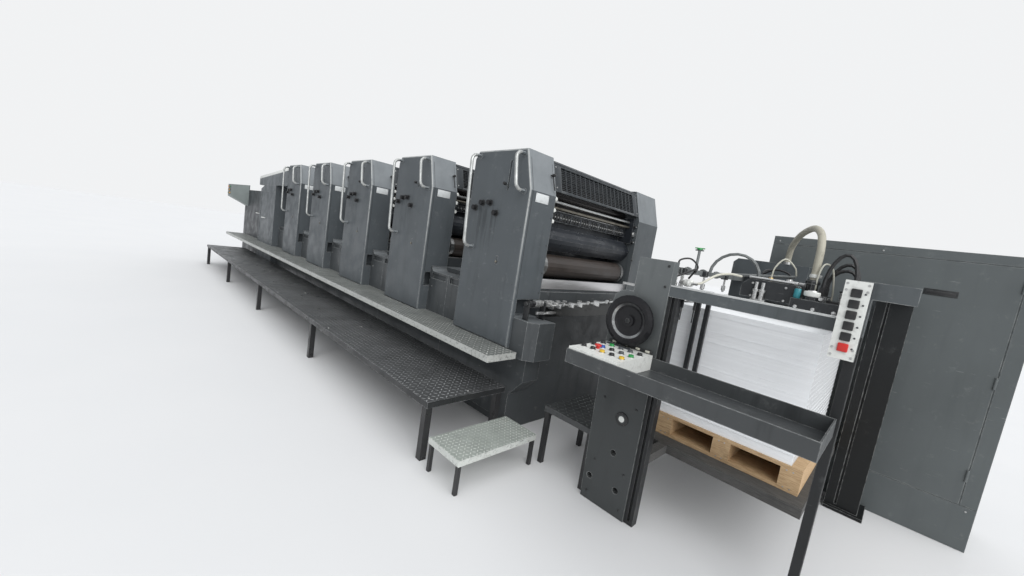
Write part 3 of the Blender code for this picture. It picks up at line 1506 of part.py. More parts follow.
def pallet():
    """Wooden pallet: a lower deck, three rows of blocks and separate upper planks."""
    low_z = BOARD_TOP + TOUCH
    high_z = low_z + PALLET_HEIGHT
    body = block((PALLET_LOW_X, -PALLET_HALF, low_z),
                 (PALLET_HIGH_X, PALLET_HALF, low_z + PALLET_DECK))
    parts = []
    middle = (PALLET_LOW_X + PALLET_HIGH_X - PALLET_BLOCK) / 2
    for x in (PALLET_LOW_X, middle, PALLET_HIGH_X - PALLET_BLOCK):
        parts.append(block((x, -PALLET_HALF, low_z + PALLET_DECK / 2),
                           (x + PALLET_BLOCK, PALLET_HALF, high_z - PALLET_DECK / 2)))
    spare = PALLET_HALF * 2 - (PALLET_PLANK_COUNT - 1) * PALLET_PLANK_GAP
    width = spare / PALLET_PLANK_COUNT
    for number in range(PALLET_PLANK_COUNT):
        low_y = -PALLET_HALF + number * (width + PALLET_PLANK_GAP)
        parts.append(block((PALLET_LOW_X, low_y, high_z - PALLET_DECK),
                           (PALLET_HIGH_X, low_y + width, high_z)))
    fuse(body, *parts)
    return finished(body, "pallet", material("pallet_wood", WOOD, 0.8, 0))


def paper_stack():
    """The pile of white sheets on the pallet."""
    low_z = BOARD_TOP + PALLET_HEIGHT + 2 * TOUCH
    low_x = PALLET_LOW_X - PAPER_AHEAD
    half = PALLET_HALF - PAPER_SIDE_MARGIN
    body = block((low_x, -half, low_z), (low_x + PAPER_LENGTH, half, PILE_TOP))
    return finished(body, "paper_stack", material("paper", PAPER_WHITE, 0.7, 0))


def sloped_strip(low_rise, high_rise, low_y, high_y):
    """A strip along the feed board, between two heights over its lower face."""
    low_x = FIRST_FACE + TOUCH
    outline = [
        (low_x, FEED_LOW + low_rise),
        (FEED_END_X, FEED_HIGH + low_rise),
        (FEED_END_X, FEED_HIGH + high_rise),
        (low_x, FEED_LOW + high_rise),
    ]
    return side_profile(outline, low_y, high_y)


def feed_shaft(share):
    """Cross shaft over the feed board with a wheel on each tape."""
    x = FIRST_FACE + share * (FEED_END_X - FIRST_FACE)
    z = FEED_LOW + share * (FEED_HIGH - FEED_LOW) + FEED_THICK + FEED_SHAFT_RISE
    parts = [rod((x, -FEED_HALF, z), (x, FEED_HALF, z), FEED_SHAFT_RADIUS, KNOB_SIDES)]
    for y in tape_places():
        parts.append(rod((x, y - FEED_WHEEL_WIDTH / 2, z), (x, y + FEED_WHEEL_WIDTH / 2, z),
                         FEED_WHEEL_RADIUS))
    return parts


def tape_places():
    """Middles of the feed board's transport tapes across the press."""
    spacing = 2 * FEED_HALF / FEED_TAPE_COUNT
    return [
        -FEED_HALF + (number + MIDDLE_SHARE) * spacing
        for number in range(FEED_TAPE_COUNT)
    ]


def feed_board():
    """Sloping feed board with side rails, tapes and cross shafts."""
    body = sloped_strip(0, FEED_THICK, -FEED_HALF, FEED_HALF)
    rail_top = FEED_THICK + FEED_RAIL_HEIGHT
    parts = []
    for side in (-1, 1):
        middle = FEED_HALF * side
        parts.append(sloped_strip(-FEED_RAIL_HEIGHT, rail_top,
                                  middle - FEED_RAIL / 2, middle + FEED_RAIL / 2))
    for y in tape_places():
        parts.append(sloped_strip(FEED_THICK / 2, FEED_THICK + FEED_TAPE_THICK,
                                  y - FEED_TAPE_WIDTH / 2, y + FEED_TAPE_WIDTH / 2))
    for share in FEED_SHAFT_SHARES:
        parts += feed_shaft(share)
    parts.append(block(
        (FEED_END_X - FEED_ARM, -PLATE_INNER + TOUCH, FEED_HIGH - FEED_ARM),
        (FEED_END_X - SINK, DRIVE_PLATE_INNER - TOUCH, FEED_HIGH),
    ))
    fuse(body, *parts)
    return finished(body, "feed_board", bare_steel())


def bridge_tap():
    """Upright pipe with a small cross handle on the forwarding bridge."""
    x = BRIDGE_X + BRIDGE_DEPTH / 2
    top = BRIDGE_TOP + BRIDGE_POST_HEIGHT
    y = BRIDGE_POST_Y
    return [
        rod((x, y, BRIDGE_TOP - SINK), (x, y, top), BRIDGE_POST_RADIUS, KNOB_SIDES),
        rod((x - BRIDGE_TAP, y, top - SINK), (x + BRIDGE_TAP, y, top - SINK),
            BRIDGE_POST_RADIUS / 2, KNOB_SIDES),
    ]


def forwarding_bridge():
    """Cross bar over the feeder's exit with its wheels, drive rod and small hose."""
    body = block(
        (BRIDGE_X, -PLATE_INNER + TOUCH, BRIDGE_LOW),
        (BRIDGE_X + BRIDGE_DEPTH, DRIVE_PLATE_INNER - TOUCH, BRIDGE_TOP),
    )
    middle = (BRIDGE_LOW + BRIDGE_TOP) / 2
    axle_x = BRIDGE_X - BRIDGE_ARM_REACH
    spacing = 2 * FEED_HALF / BRIDGE_ROLLER_COUNT
    parts = bridge_tap()
    for number in range(BRIDGE_ROLLER_COUNT):
        y = -FEED_HALF + (number + MIDDLE_SHARE) * spacing
        parts.append(block(
            (axle_x, y - BRIDGE_ARM_WIDTH / 2, middle - BRIDGE_ARM_THICK / 2),
            (BRIDGE_X + SINK, y + BRIDGE_ARM_WIDTH / 2, middle + BRIDGE_ARM_THICK / 2),
        ))
        parts.append(rod((axle_x, y - BRIDGE_ROLLER_WIDTH / 2, middle),
                         (axle_x, y + BRIDGE_ROLLER_WIDTH / 2, middle), BRIDGE_ROLLER_RADIUS))
    x = BRIDGE_X + BRIDGE_DEPTH / 2
    parts.append(rod((x, BRIDGE_ROD_Y, BRIDGE_TOP - SINK),
                     (x + BRIDGE_ROD_RUN, BRIDGE_ROD_Y, BRIDGE_TOP + BRIDGE_ROD_RISE),
                     BRIDGE_ROD_RADIUS, KNOB_SIDES))
    start = (x, BRIDGE_HOSE_Y, BRIDGE_TOP - SINK)
    end_x = FRONT_LOW_X + FRONT_CUT + 2 * BRIDGE_HOSE_RADIUS
    end = (end_x, BRIDGE_HOSE_Y, FRONT_TOP + BRIDGE_HOSE_RADIUS / 2)
    parts.append(tube(arched_route(start, end, BRIDGE_HOSE_RISE), BRIDGE_HOSE_RADIUS, 1))
    fuse(body, *parts)
    return finished(body, "forwarding_bridge", black_paint())


def head_place(shares):
    """A place on the suction head, from its shares of the length and the half width."""
    along, across = shares
    return HEAD_LOW_X + along * HEAD_LENGTH, across * HEAD_HALF


def head_fittings():
    """Stem, adjuster cap and small upright cylinder on the suction head."""
    seat = HEAD_TOP - SINK
    cap_x, cap_y = head_place(CAP_PLACE_SHARES)
    piston_x, piston_y = head_place(PISTON_PLACE_SHARES)
    return [
        rod((STEM_X, 0, seat), (STEM_X, 0, STEM_TOP), STEM_RADIUS, SMALL_SIDES),
        rod((STEM_X, 0, STEM_TOP - COLLAR_HEIGHT), (STEM_X, 0, STEM_TOP - COLLAR_STEP),
            STEM_RADIUS + COLLAR_STEP, SMALL_SIDES),
        rod((cap_x, cap_y, seat), (cap_x, cap_y, HEAD_TOP + CAP_HEIGHT), CAP_RADIUS),
        rod((piston_x, piston_y, seat), (piston_x, piston_y, HEAD_TOP + PISTON_HEIGHT),
            PISTON_RADIUS, KNOB_SIDES),
    ]


def suction_head():
    """Suction head on its cross bar, with its front housing and suckers."""
    body = block((HEAD_LOW_X, -HEAD_HALF, HEAD_LOW), (HEAD_HIGH_X, HEAD_HALF, HEAD_TOP))
    outline = [
        (FRONT_LOW_X, HEAD_LOW + FRONT_LIFT),
        (HEAD_LOW_X + SINK, HEAD_LOW + FRONT_LIFT),
        (HEAD_LOW_X + SINK, FRONT_TOP),
        (FRONT_LOW_X + FRONT_CUT, FRONT_TOP),
        (FRONT_LOW_X, FRONT_TOP - FRONT_CUT),
    ]
    front_half = HEAD_HALF - FRONT_NARROW
    bar_x = HEAD_HIGH_X - HEAD_BAR_INSET
    near = -PLATE_OUTER + BEAM_DEPTH + TOUCH
    far = DRIVE_PLATE_OUTER - BEAM_DEPTH - TOUCH
    parts = head_fittings()
    parts.append(side_profile(outline, -front_half, front_half))
    parts.append(rod((bar_x, near, HEAD_BAR_Z), (bar_x, far, HEAD_BAR_Z), HEAD_BAR_RADIUS))
    sucker_x = HEAD_LOW_X + HEAD_LENGTH / 2
    spacing = 2 * HEAD_HALF / SUCKER_COUNT
    for number in range(SUCKER_COUNT):
        y = -HEAD_HALF + (number + MIDDLE_SHARE) * spacing
        parts.append(rod((sucker_x, y, HEAD_LOW - SUCKER_DROP), (sucker_x, y, HEAD_LOW + SINK),
                         SUCKER_RADIUS, KNOB_SIDES))
    fuse(body, *parts)
    return finished(body, "suction_head", dark_paint())


def suction_hose():
    """Thick hose that arches from the suction head's stem to the drive cover."""
    end_x = DRIVE_BOX_HIGH_X - HOSE_SEAT
    end_y = DRIVE_PLATE_OUTER - DRIVE_BOX_DEPTH / 2
    crown = STEM_TOP + HOSE_RISE
    route = rounded_route([
        (STEM_X, 0, STEM_TOP + TOUCH),
        (STEM_X, 0, crown),
        (end_x, end_y, crown),
        (end_x, end_y, DRIVE_BOX_TOP + TOUCH),
    ], HOSE_BEND)
    hose = tube(route, HOSE_RADIUS)
    return finished(hose, "suction_hose", material("hose", HOSE_BEIGE, 0.7, 0), None, True)


def air_hoses():
    """Three short hoses that arch between two distributor blocks on the head."""
    low_x = STEM_X + STEM_RADIUS + COLLAR_STEP + AIR_STRIP_GAP
    high_x = HEAD_HIGH_X - AIR_TAIL_INSET
    low_z = HEAD_TOP + TOUCH
    body = block((low_x, AIR_LOW_Y, low_z), (high_x, AIR_HIGH_Y, low_z + AIR_STRIP))
    head_top = low_z + AIR_HEAD_HEIGHT
    tail_top = low_z + AIR_TAIL_HEIGHT
    parts = [
        block((low_x + TOUCH, AIR_LOW_Y + TOUCH, low_z + TOUCH),
              (low_x + AIR_BLOCK, AIR_HIGH_Y - TOUCH, head_top)),
        block((high_x - AIR_BLOCK, AIR_LOW_Y + TOUCH, low_z + TOUCH),
              (high_x - TOUCH, AIR_HIGH_Y - TOUCH, tail_top)),
    ]
    for share, rise in zip(AIR_HOSE_SHARES, AIR_HOSE_RISES):
        y = AIR_LOW_Y + share * (AIR_HIGH_Y - AIR_LOW_Y)
        start = (low_x + AIR_BLOCK / 2, y, head_top - SINK)
        end = (high_x - AIR_BLOCK / 2, y, tail_top - SINK)
        parts.append(tube(arched_route(start, end, rise), AIR_HOSE_RADIUS, 1))
    fuse(body, *parts)
    return finished(body, "air_hoses", black_paint())


def tool_tray():
    """Shallow tray along the operator side that also carries the control desk."""
    low_x = PLATE_LOW_X + TRAY_SETBACK
    high_x = REAR_X - TRAY_SETBACK
    outer = -PLATE_OUTER - TRAY_WIDTH
    inner = -PLATE_OUTER - TOUCH
    low_z = TRAY_TOP - TRAY_LIP
    body = block((low_x, outer, low_z), (high_x, inner, TRAY_TOP))
    hollow = block(
        (low_x + TRAY_WALL, outer + TRAY_WALL, low_z + TRAY_WALL),
        (high_x - TRAY_WALL, inner - TRAY_WALL, TRAY_TOP + OVERRUN),
    )
    cut(body, hollow)
    return finished(body, "tool_tray", press_paint())


def control_desk():
    """Push-button desk that fills the tray's feeder end."""
    low_x = PLATE_LOW_X + TRAY_SETBACK + TRAY_WALL + TOUCH
    near = -PLATE_OUTER - TRAY_WIDTH + TRAY_WALL + TOUCH
    far = -PLATE_OUTER - TRAY_WALL - 2 * TOUCH
    low_z = TRAY_TOP - TRAY_LIP + TRAY_WALL + TOUCH
    high_z = TRAY_TOP + DESK_RISE
    body = block((low_x, near, low_z), (low_x + DESK_LENGTH, far, high_z))
    buttons = []
    for row in range(BUTTON_ROWS):
        for column in range(BUTTON_COLUMNS):
            x = low_x + (column + MIDDLE_SHARE) * DESK_LENGTH / BUTTON_COLUMNS
            y = near + (row + 1) * (far - near) / (BUTTON_ROWS + 1)
            buttons.append(rod((x, y, high_z - SINK), (x, y, high_z + BUTTON_HEIGHT),
                               BUTTON_RADIUS, KNOB_SIDES))
    fuse(body, *buttons)
    return finished(body, "control_desk", material("panel_white", BOX_WHITE, 0.5, 0))


def control_box():
    """Upright push-button box at the feeder's rear corner."""
    high_x = REAR_X - BOX_SETBACK
    low_x = high_x - BOX_WIDTH
    near = -PLATE_OUTER - BOX_DEPTH
    high_z = REAR_HIGH - BOX_DROP
    low_z = high_z - BOX_HEIGHT
    body = block((low_x, near, low_z), (high_x, -PLATE_OUTER - TOUCH, high_z))
    middle = (low_x + high_x) / 2
    step = (BOX_HEIGHT - 2 * KEY_MARGIN) / (KEY_COUNT - 1)
    keys = []
    for number in range(KEY_COUNT):
        z = low_z + KEY_MARGIN + number * step
        keys.append(block(
            (middle - KEY_SIZE / 2, near - KEY_STAND, z - KEY_SIZE / 2),
            (middle + KEY_SIZE / 2, near + KEY_STAND, z + KEY_SIZE / 2),
        ))
    fuse(body, *keys)
    return finished(body, "control_box", material("panel_white", BOX_WHITE, 0.5, 0))


def handwheel():
    """Dished handwheel that turns on the operator side plate."""
    rim_back = -WHEEL_STAND
    rim_front = rim_back - 2 * WHEEL_RIM
    web_back = rim_back - WHEEL_RIM / 2
    web_front = web_back - WHEEL_RIM / 2
    flat = WHEEL_RADIUS - 2 * WHEEL_RIM
    profile = [
        (0, -TOUCH),
        (WHEEL_HUB / 2, -TOUCH),
        (WHEEL_HUB / 2, web_back),
        (flat, web_back),
        (WHEEL_RADIUS - WHEEL_RIM, rim_back),
        (WHEEL_RADIUS, rim_back - WHEEL_RIM / 2),
        (WHEEL_RADIUS, rim_front + WHEEL_RIM / 2),
        (WHEEL_RADIUS - WHEEL_RIM, rim_front),
        (flat, rim_front),
        (flat - WHEEL_DISH, web_front),
        (WHEEL_HUB, web_front),
        (WHEEL_HUB, -WHEEL_HUB_OUT),
        (0, -WHEEL_HUB_OUT),
    ]
    centre = (PLATE_LOW_X + WHEEL_RUN, -PLATE_OUTER, PLATE_SHOULDER - WHEEL_DROP)
    return finished(turned(profile, centre), "handwheel", black_paint(), centre, True)


def control_cabinet():
    """Electrical cabinet beside the feeder, with its seams and recessed pull."""
    near = DRIVE_PLATE_OUTER + TOUCH
    face_low = near - OVERRUN
    seam_back = near + CABINET_SEAM_DEPTH
    seam_x = CABINET_HIGH_X - CABINET_SEAM_INSET
    seam_z = CABINET_TOP - CABINET_TOP_SEAM_DROP
    pull_x = CABINET_HIGH_X - PULL_INSET
    pull_z = CABINET_TOP - PULL_DROP
    body = block((CABINET_LOW_X, near, 0), (CABINET_HIGH_X, near + CABINET_DEPTH, CABINET_TOP))
    tools = [
        block((seam_x, face_low, CABINET_KICK), (seam_x + CABINET_SEAM, seam_back, seam_z)),
        block((CABINET_LOW_X - OVERRUN, face_low, CABINET_KICK - CABINET_SEAM),
              (CABINET_HIGH_X + OVERRUN, seam_back, CABINET_KICK)),
        block((CABINET_LOW_X - OVERRUN, face_low, seam_z),
              (CABINET_HIGH_X + OVERRUN, seam_back, seam_z + CABINET_SEAM)),
        block((pull_x - PULL_WIDTH / 2, face_low, pull_z - PULL_HEIGHT / 2),
              (pull_x + PULL_WIDTH / 2, near + PULL_DEPTH, pull_z + PULL_HEIGHT / 2)),
    ]
    cut(body, *tools)
    return finished(body, "control_cabinet", press_paint())


def build_units():
    for index in range(UNIT_COUNT):
        operator_cover(index)
        drive_cover(index)
        unit_base(index)
        inking_tower(index)
        mesh_guard(index)
        blanket_cylinder(index)


def build_delivery():
    coating_module()
    module_link()
    delivery_frame()
    delivery_hood()


def build_walkways():
    ledge()
    walk_platform()
    entry_step()
    feeder_walkway()


def build_feeder():
    feeder_operator_side()
    feeder_drive_side()
    feeder_tie()
    guide_operator()
    guide_drive()
    rear_post()
    rear_column()
    top_frame()
    feed_board()
    forwarding_bridge()
    suction_head()
    suction_hose()
    air_hoses()
    tool_tray()
    control_desk()
    control_box()
    handwheel()
    pile_board()
    pallet()
    paper_stack()


build_units()
build_delivery()
build_walkways()
build_feeder()
control_cabinet()
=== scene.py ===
"""Looks of a sheet-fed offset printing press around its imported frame.

Metres, +Z up. +X runs along the press towards the feeder and +Y towards the
drive side, as in the frame. Each sub-assembly is a class that gives the plain
solids their finishes and builds the small parts and trim which they leave out.
"""

import logging
import math
from collections.abc import Iterable
from dataclasses import dataclass
from enum import Enum
from itertools import product
from typing import ClassVar

import bmesh
import bpy
from mathutils import Matrix, Vector

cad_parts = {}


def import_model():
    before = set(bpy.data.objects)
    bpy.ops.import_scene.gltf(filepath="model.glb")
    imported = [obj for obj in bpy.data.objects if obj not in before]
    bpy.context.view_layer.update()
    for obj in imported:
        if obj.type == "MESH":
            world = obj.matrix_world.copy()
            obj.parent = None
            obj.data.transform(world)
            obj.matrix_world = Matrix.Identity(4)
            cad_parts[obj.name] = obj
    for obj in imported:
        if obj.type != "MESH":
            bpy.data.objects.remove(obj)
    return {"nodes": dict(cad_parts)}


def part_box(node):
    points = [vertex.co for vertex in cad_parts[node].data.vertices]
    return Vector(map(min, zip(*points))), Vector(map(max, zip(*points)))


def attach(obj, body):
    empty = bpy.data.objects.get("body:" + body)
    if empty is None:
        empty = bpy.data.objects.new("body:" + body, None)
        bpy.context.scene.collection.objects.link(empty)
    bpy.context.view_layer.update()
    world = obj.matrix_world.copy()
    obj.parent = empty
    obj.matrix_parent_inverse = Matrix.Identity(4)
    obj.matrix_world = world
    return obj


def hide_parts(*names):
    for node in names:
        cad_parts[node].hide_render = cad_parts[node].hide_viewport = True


LOG = logging.getLogger("press")
Colour = tuple[float, float, float]
Point = tuple[float, float, float]
Pair = tuple[float, float]
Profile = list[Pair]
ORIGIN: Point = (0.0, 0.0, 0.0)
Places = Iterable[Point | Matrix]
Inputs = dict[int | str, object]
HERE: Places = (ORIGIN,)
SOFT = 0.001
FINE = 0.0005
FLAT, CREASED = 0.995, 0.90
SHARP_ANGLE = 0.6
MERGE = 1e-6
CHAMFER_SHARE = 0.3
COIL_TURN = 0.6
HANDLE_FOOT, HANDLE_BEND = 0.004, (0.002, 0.008, 0.015)


class Slot(Enum):
    """Material slots of the record."""

    PRESS = "press_paint"
    DARK = "dark_paint"
    BLACK = "black_paint"
    TREAD = "tread_plate"
    STEEL = "bare_steel"
    PAPER = "paper"
    PANEL = "panel_white"
    HOSE = "hose"


class Axis(Enum):
    """The three axes, by their number."""

    X = 0
    Y = 1
    Z = 2


class Way(Enum):
    """The ways that a turned part can point."""

    FEEDER = (1.0, 0.0, 0.0)
    DRIVE = (0.0, 1.0, 0.0)
    OPERATOR = (0.0, -1.0, 0.0)
    UP = (0.0, 0.0, 1.0)


# Finishes


class Value:
    """A node's output, with arithmetic that adds nodes to its graph."""

    def __init__(self, graph: "Graph", socket: bpy.types.NodeSocket) -> None:
        """Wrap an output."""
        self.graph = graph
        self.socket = socket

    def __add__(self, other: "Value | float") -> "Value":
        """The sum."""
        return self.graph.maths("ADD", self, other)

    def __sub__(self, other: "Value | float") -> "Value":
        """The difference."""
        return self.graph.maths("SUBTRACT", self, other)

    def __mul__(self, other: "Value | float") -> "Value":
        """The product."""
        return self.graph.maths("MULTIPLY", self, other)

    def __truediv__(self, other: "Value | float") -> "Value":
        """The quotient."""
        return self.graph.maths("DIVIDE", self, other)

    def __abs__(self) -> "Value":
        """The value without its sign."""
        return self.graph.maths("ABSOLUTE", self)

    def most(self, other: "Value | float") -> "Value":
        """The greater of two values."""
        return self.graph.maths("MAXIMUM", self, other)

    def span(self, low: float, high: float, start: float = 0.0, end: float = 1.0) -> "Value":
        """Map the range from low to high smoothly to start and end, and hold it there."""
        ends = dict(enumerate((self, low, high, start, end)))
        return self.graph.node("MapRange", 0, ends, interpolation_type="SMOOTHSTEP")

    def above(self, limit: float, soft: float = SOFT) -> "Value":
        """A mask that is one above a limit, and fades over a soft border."""
        return self.span(limit - soft, limit + soft)

    def below(self, limit: float, soft: float = SOFT) -> "Value":
        """A mask that is one below a limit, and fades over a soft border."""
        return self.span(limit - soft, limit + soft, 1.0, 0.0)

    def within(self, low: float, high: float, soft: float = SOFT) -> "Value":
        """A mask that is one between two limits."""
        return self.above(low, soft) * self.below(high, soft)


class Graph:
    """A material's node tree, with short calls for the nodes that the finishes use."""

    def __init__(self, name: str) -> None:
        """Start a material whose patterns follow Object coordinates.

        Args:
            name: The material's name.
        """
        self.material = bpy.data.materials.new(name)
        self.material.use_nodes = True
        self.tree = self.material.node_tree
        self.shader = self.tree.nodes["Principled BSDF"]
        self.place = self.node("TexCoord", "Object", {})
        self.x, self.y, self.z = (
            self.node("SeparateXYZ", axis, {0: self.place}) for axis in range(3))

    def feed(self, socket: bpy.types.NodeSocket, value: object) -> None:
        """Link a socket to a value, or set its own number or colour.

        Args:
            socket: The input to fill.
            value: A node's output, a number, a colour or a vector.
        """
        if isinstance(value, Value):
            self.tree.links.new(value.socket, socket)
        elif isinstance(value, tuple) and socket.type == "RGBA":
            socket.default_value = (*value, 1)
        else:
            socket.default_value = value

    def node(self, kind: str, output: int | str, inputs: Inputs, **settings: object) -> Value:
        """Add a node.

        Args:
            kind: Its type, without the prefix that all shader nodes share.
            output: The number or name of the output that is used.
            inputs: What its inputs are fed, by their number or name.
            settings: Its properties.

        Returns:
            The output.
        """
        made = self.tree.nodes.new(f"ShaderNode{kind}")
        for name, value in settings.items():
            setattr(made, name, value)
        for name, value in inputs.items():
            self.feed(made.inputs[name], value)
        return Value(self, made.outputs[output])

    def maths(self, operation: str, first: Value, second: Value | float = 0.0) -> Value:
        """A Math node's result."""
        return self.node("Math", 0, {0: first, 1: second}, operation=operation)

    def noise(self, scale: float, detail: float = 4.0, roughness: float = 0.55,
              stretch: Point = (1.0, 1.0, 1.0)) -> Value:
        """A noise from 0 to 1.

        Args:
            scale: Its fineness, in patches a metre.
            detail: Its octaves.
            roughness: How strong the finer octaves are.
            stretch: The scale of each axis before the noise.

        Returns:
            The noise's value.
        """
        spot = self.node("Mapping", 0, {"Vector": self.place, "Scale": stretch})
        return self.node("TexNoise", 0, {"Vector": spot, "Scale": scale, "Detail": detail,
                                         "Roughness": roughness})

    def mix(self, factor: Value, first: Value | Colour, second: Value | Colour) -> Value:
        """Blend two colours: the first where the factor is zero, the second where it is one."""
        return self.node("Mix", 2, {0: factor, 6: first, 7: second}, data_type="RGBA")

    def blend(self, factor: Value, first: float, second: float) -> Value:
        """Blend two numbers, as mix does two colours."""
        return self.node("Mix", 0, {0: factor, 2: first, 3: second})

    def shades(self, factor: Value, colour: Colour, low: float, high: float) -> Value:
        """A colour that is made lighter or darker, from one factor to another."""
        return self.mix(factor, scaled(colour, low), scaled(colour, high))

    def edges(self, width: float) -> Value:
        """A mask that is one along convex and concave edges.

        Args:
            width: How far from the edge it reaches, in metres.

        Returns:
            The mask.
        """
        rounded = self.node("Bevel", 0, {"Radius": width}, samples=4)
        flat = self.node("NewGeometry", "True Normal", {})
        dot = self.node("VectorMath", "Value", {0: rounded, 1: flat}, operation="DOT_PRODUCT")
        return dot.span(FLAT, CREASED)

    def facing(self, axis: Axis, low: float, high: float) -> Value:
        """A mask that grows as a face's true normal turns towards an axis."""
        flat = self.node("NewGeometry", "True Normal", {})
        return self.node("SeparateXYZ", axis.value, {0: flat}).span(low, high)

    def bump(self, height: Value, distance: float) -> Value:
        """A normal bumped by a height from 0 to 1, where one is a distance in metres."""
        return self.node("Bump", 0, {"Distance": distance, "Height": height})

    def set(self, **values: object) -> None:
        """Fill the shader's sockets.

        Args:
            values: What each is fed, by its name with underscores for spaces.
        """
        for name, value in values.items():
            title = name.replace("_", " ").title().replace("Ior", "IOR")
            self.feed(self.shader.inputs[title], value)


def scaled(colour: Colour, factor: float) -> Colour:
    """A colour made lighter or darker by a factor."""
    return tuple(min(channel * factor, 1.0) for channel in colour)


@dataclass(frozen=True)
class Finish:
    """What every surface finish has: a name, and a material made once."""

    name: str

    def build(self) -> bpy.types.Material:
        """The finish's material, made at its first use.

        Returns:
            The material.
        """
        found = bpy.data.materials.get(self.name)
        if found is None:
            graph = Graph(self.name)
            self.dress(graph)
            found = graph.material
        return found

    def dress(self, graph: Graph) -> None:
        """Fill the material's nodes."""
        raise NotImplementedError


@dataclass(frozen=True)
class WornPaint(Finish):
    """Machine paint: mottled, greasy, scratched, and rubbed bare along its edges, where the
    bare grey is partly a painted highlight.
    """

    colour: Colour
    bare: Colour = (0.44, 0.45, 0.44)
    roughness: float = 0.40
    edge: float = 0.0050
    # How strongly the edges show bare grey: worn paint, and a painted highlight.
    edge_wear_and_highlight: float = 0.8
    grime: float = 0.45
    peel: float = 0.00022
    # The height above which the paint no longer grows darker towards the bottom.
    darkening_top: float = -1.0
    # Paler dust on upward faces, with a painted sheen where light from above grazes them, and its
    # colour.
    dust_and_sheen: float = 0.0
    dust_and_sheen_colour: Colour = (0.36, 0.385, 0.40)

    def paint(self, graph: Graph) -> tuple[Value, Value]:
        """The paint's colour and the mask of its worn edges, which are partly painted highlights.

        Args:
            graph: The material's nodes.

        Returns:
            The colour, and the mask.
        """
        tone = graph.shades(graph.noise(2.3, 5.0), self.colour, 0.82, 1.2)
        runs = graph.noise(5.0, 6.0, 0.6, (3.0, 3.0, 0.35))
        dust = graph.noise(14.0, 8.0, 0.7).span(0.56, 0.78)
        marks = graph.noise(9.0, 3.0, 0.6, (1.0, 1.0, 14.0)).span(0.70, 0.76)
        for mask, colour in ((runs.span(0.50, 0.75) * self.grime, scaled(self.colour, 0.35)),
                             (dust * 0.22, scaled(self.bare, 0.8)), (marks * 0.35, self.bare)):
            tone = graph.mix(mask, tone, colour)
        # Upward faces painted paler in patches: some dust, and a painted sheen for the light that
        # falls on them from above.
        if self.dust_and_sheen > 0:
            dust_and_sheen_patches = graph.noise(6.0, 6.0, 0.6).span(0.2, 0.7, 0.7 * self.dust_and_sheen, self.dust_and_sheen)
            tone = graph.mix(graph.facing(Axis.Z, 0.15, 0.26) * dust_and_sheen_patches, tone, self.dust_and_sheen_colour)
        # Darker towards the bottom, fading out above this height along a ragged border.
        if self.darkening_top > 0:
            low = (graph.z + runs * 0.3).span(self.darkening_top - 0.25, self.darkening_top + 0.45, 0.80, 0.0)
            tone = graph.mix(low, tone, scaled(self.colour, 0.22))
        # Edges rubbed bare in a pale grey that is bright enough to stand for their highlights too:
        # wear and painted highlight together.
        patchy = graph.noise(26.0, 5.0).span(0.34, 0.62, 0.15, 1.0)
        rubbed = graph.edges(self.edge) * patchy * self.edge_wear_and_highlight
        return graph.mix(rubbed, tone, self.bare), rubbed

    def dress(self, graph: Graph) -> None:
        """Paint with orange peel, grease, and rubbed edges that are partly painted highlights.

        Args:
            graph: The material's nodes.
        """
        colour, rubbed = self.paint(graph)
        gloss = graph.noise(7.0, 5.0).span(0.3, 0.75, self.roughness - 0.10, self.roughness + 0.16)
        graph.set(base_color=colour, roughness=gloss, specular_ior_level=0.32,
                  normal=graph.bump(graph.noise(420.0, 2.0), self.peel), metallic=rubbed * 0.5)


@dataclass(frozen=True)
class Chequer(Finish):
    """Steel plate with raised lozenges on its upper faces, painted or bare."""

    low: Colour
    high: Colour
    side: Colour
    pitch: float = 0.036
    length: float = 0.42
    width: float = 0.13
    diagonal: float = 1.414
    metallic: float = 0.0
    roughness: float = 0.45
    rise: float = 0.0018
    leg_height: float = -1.0
    leg: Colour = (0.02, 0.02, 0.021)

    def lozenges(self, graph: Graph) -> Value:
        """Lozenges in a grid, each turned across its neighbours.

        Args:
            graph: The material's nodes.

        Returns:
            Their height, from 0 to 1.
        """
        cells = [value / self.pitch for value in (graph.x, graph.y)]
        column, row = (graph.maths("FLOOR", cell) for cell in cells)
        first, second = (graph.maths("FRACT", cell) - 0.5 for cell in cells)
        parity = graph.maths("MODULO", column + row, 2.0)
        other = second * abs(parity).span(0.4, 0.6, 1.0, -1.0)
        along = (first + other) / (self.length * self.diagonal)
        across = (first - other) / (self.width * self.diagonal)
        return (along * along + across * across).span(0.45, 1.1, 1.0, 0.0)

    def dress(self, graph: Graph) -> None:
        """Lozenges rubbed bright, dirt between them, plain sides and dark legs.

        Args:
            graph: The material's nodes.
        """
        upward = graph.facing(Axis.Z, 0.8, 0.95)
        raised = self.lozenges(graph) * upward
        traffic = graph.noise(3.2, 6.0, 0.6).span(0.32, 0.66, 0.25, 1.0)
        dirt = graph.shades(graph.noise(11.0, 7.0, 0.7), self.low, 0.6, 1.5)
        sides = graph.shades(graph.noise(5.0, 5.0), self.side, 0.75, 1.3)
        chips = graph.noise(60.0, 6.0, 0.7).span(0.52, 0.66, 0.0, 0.75)
        sides = graph.mix(chips, sides, scaled(self.side, 0.35))
        rubbed = graph.edges(0.004) * graph.noise(22.0, 4.0).span(0.35, 0.6)
        tone = graph.mix(upward, sides, graph.mix(raised * traffic, dirt, self.high))
        foot = graph.z.below(self.leg_height)
        tone = graph.mix(foot, graph.mix(rubbed, tone, self.high), self.leg)
        shine = graph.noise(9.0, 5.0).span(0.3, 0.7, self.roughness - 0.1, self.roughness + 0.15)
        graph.set(base_color=tone, roughness=shine, normal=graph.bump(raised, self.rise),
                  metallic=graph.blend(foot, self.metallic, 0.0) if self.metallic > 0 else 0.0)


